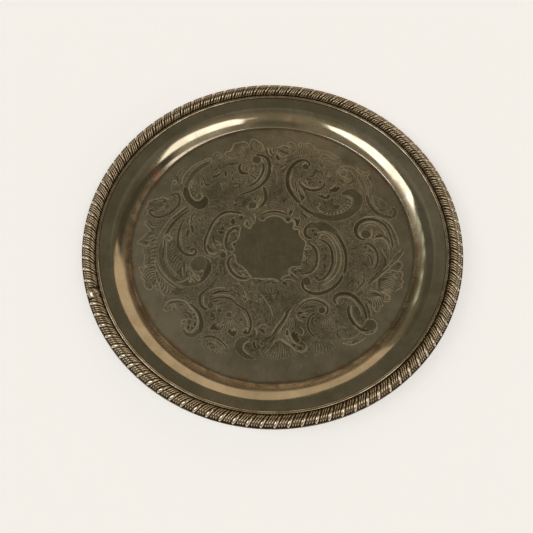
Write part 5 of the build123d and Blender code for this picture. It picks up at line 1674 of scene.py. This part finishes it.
def region(centre, half_az, el0, el1, soft_az, soft_el):
    a = wmath("ABSOLUTE", az_from(centre))
    return wmath("MULTIPLY", wsmooth(a, half_az + soft_az, half_az - soft_az), window(el, el0, el1, soft_el))


def wmix(f, a, b):
    n = wn.nodes.new("ShaderNodeMix")
    n.data_type = "RGBA"
    wn.links.new(f, n.inputs["Factor"])
    for k, v in (("A", a), ("B", b)):
        sock = [s for s in n.inputs if s.name == k and s.type == "RGBA"][0]
        if isinstance(v, tuple):
            sock.default_value = (*v, 1)
        else:
            wn.links.new(v, sock)
    return [s for s in n.outputs if s.type == "RGBA"][0]


LIGHT_A = (1.9, 1.84, 1.70)
LIGHT_B = (2.3, 2.28, 2.16)
def line(az, slope, offset):
    """Elevation minus (offset + slope * azimuth): positive above the line."""
    return wmath("SUBTRACT", el, wmath("ADD", wmath("MULTIPLY", az, slope), offset))


def both(*socks):
    out = socks[0]
    for s_ in socks[1:]:
        out = wmath("MULTIPLY", out, s_)
    return out


def above(az, slope, offset, soft):
    return wsmooth(line(az, slope, offset), -soft, soft)


def below(az, slope, offset, soft):
    return wsmooth(line(az, slope, offset), soft, -soft)


# A dim room in warm brown and olive, a lit wall behind the tray and two broad soft windows of light.
ceiling = (0.112, 0.103, 0.072)
col = wmix(wsmooth(el, 55, 5), ceiling, (0.20, 0.165, 0.11))
col = wmix(region(272, 88, 28, 74, 14, 8), col, (0.235, 0.205, 0.145))
col = wmix(region(272, 100, -20, 22, 14, 8), col, (0.36, 0.30, 0.21))
# darker corners
col = wmix(region(5, 32, 27, 46, 8, 4), col, (0.075, 0.066, 0.046))
col = wmix(region(268, 16, 30, 48, 6, 5), col, (0.13, 0.12, 0.085))
col = wmix(region(146, 34, 34, 54, 8, 4), col, (0.095, 0.092, 0.068))
col = wmix(region(150, 44, 58, 80, 12, 5), col, (0.185, 0.175, 0.138))
col = wmix(region(35, 30, 56, 80, 12, 5), col, (0.165, 0.152, 0.118))
col = wmix(wsmooth(el, 74, 83), col, (0.165, 0.152, 0.118))
col = wmix(region(134, 18, -8, 15, 4, 3), col, (0.10, 0.085, 0.055))
col = wmix(region(318, 18, 31, 43, 6, 3), col, (0.38, 0.35, 0.27))
col = wmix(region(188, 24, 13, 27, 6, 3), col, (0.36, 0.335, 0.27))
col = wmix(region(262, 3, 50, 63, 2, 3), col, (0.32, 0.23, 0.15))
# lit wall
az = az_from(88)
wall = both(wsmooth(az, -54.8, -49), below(az, 0.2, 52.5, 1.2), below(az, -2.3, 53.5, 1.5), above(az, -0.12, 9.5, 1.5), wsmooth(az, 20, 16))
wall2 = both(wsmooth(az, -3, 1), wsmooth(az, 28.5, 26.5), below(az, 0.0, 31, 1.2), above(az, 0.0, 8.5, 1.5))
skirt = both(wsmooth(az, -60, -40), wsmooth(az, 29.5, 26), window(el, -30, 9.5, 1.5))
col = wmix(skirt, col, (0.25, 0.195, 0.135))
col = wmix(wmath("MAXIMUM", wall, wall2), col, (0.60, 0.475, 0.325))
col = wmix(region(60, 26, 3, 12, 6, 2.5), col, (0.11, 0.085, 0.06))
# louvred window
for c, h, e0, e1 in ((134, 3, 16, 25), (140, 2.2, 18, 27), (148, 2, 23, 32), (154, 2.4, 25, 35), (161.5, 3.2, 22, 36), (169, 2, 24, 34)):
    col = wmix(region(c, h, e0, e1, 0.8, 1.5), col, (0.58, 0.63, 0.49))
col = wmix(region(157, 8, 12, 17.5, 3, 2), col, (0.55, 0.42, 0.34))
# light strip low on the right
col = wmix(region(313, 28, 19.5, 27.5, 5, 2), col, (1.5, 1.35, 1.18))
# two soft windows
az = az_from(200)
light_b = both(wsmooth(az, -33.5, -31), wsmooth(az, 34.5, 31), below(az, 0.40, 61, 1.5), below(az, 0, 60.5, 2), above(az, 0, 29.5, 1.5), above(az, 0.45, 35.5, 2))
col = wmix(light_b, col, LIGHT_B)
az = az_from(320)
light_a = both(wsmooth(az, -30, -26), wsmooth(az, 34, 28), below(az, 0, 63, 2), below(az, 0.6, 74, 2), above(az, 0, 45.5, 1.5))
col = wmix(region(288, 4, 55, 60, 2, 2), col, (0.75, 0.55, 0.42))
col = wmix(light_a, col, LIGHT_A)
bg = W("ShaderNodeBackground")
wn.links.new(col, bg.inputs["Color"])
bg.inputs["Strength"].default_value = 1.0
wo = W("ShaderNodeOutputWorld")
wn.links.new(bg.outputs[0], wo.inputs[0])

cam_data = bpy.data.cameras.new("camera")
cam = bpy.data.objects.new("camera", cam_data)
bpy.context.scene.collection.objects.link(cam)
cam_data.sensor_width = 36
cam_data.sensor_fit = "HORIZONTAL"
cam_data.lens = 54.03
cam_data.clip_start = 0.01
cam_data.dof.use_dof = False
E = rad(64.26)
pos = np.array([0, -666.1 * math.cos(E), 666.1 * math.sin(E) + 1.0])
aim = np.array([-4.5, -18.2, 1.0])
f = (aim - pos) / np.linalg.norm(aim - pos)
r_ = np.cross(f, [0, 0, 1])
r_ /= np.linalg.norm(r_)
u_ = np.cross(r_, f)
cr, sr = math.cos(rad(0.64)), math.sin(rad(0.64))
r2 = cr * r_ + sr * u_
u2 = -sr * r_ + cr * u_
M = Matrix(((r2[0], u2[0], -f[0], pos[0] * MM), (r2[1], u2[1], -f[1], pos[1] * MM), (r2[2], u2[2], -f[2], pos[2] * MM), (0, 0, 0, 1)))
cam.matrix_world = M
bpy.context.scene.camera = cam
bpy.context.scene.view_settings.view_transform = "Standard"
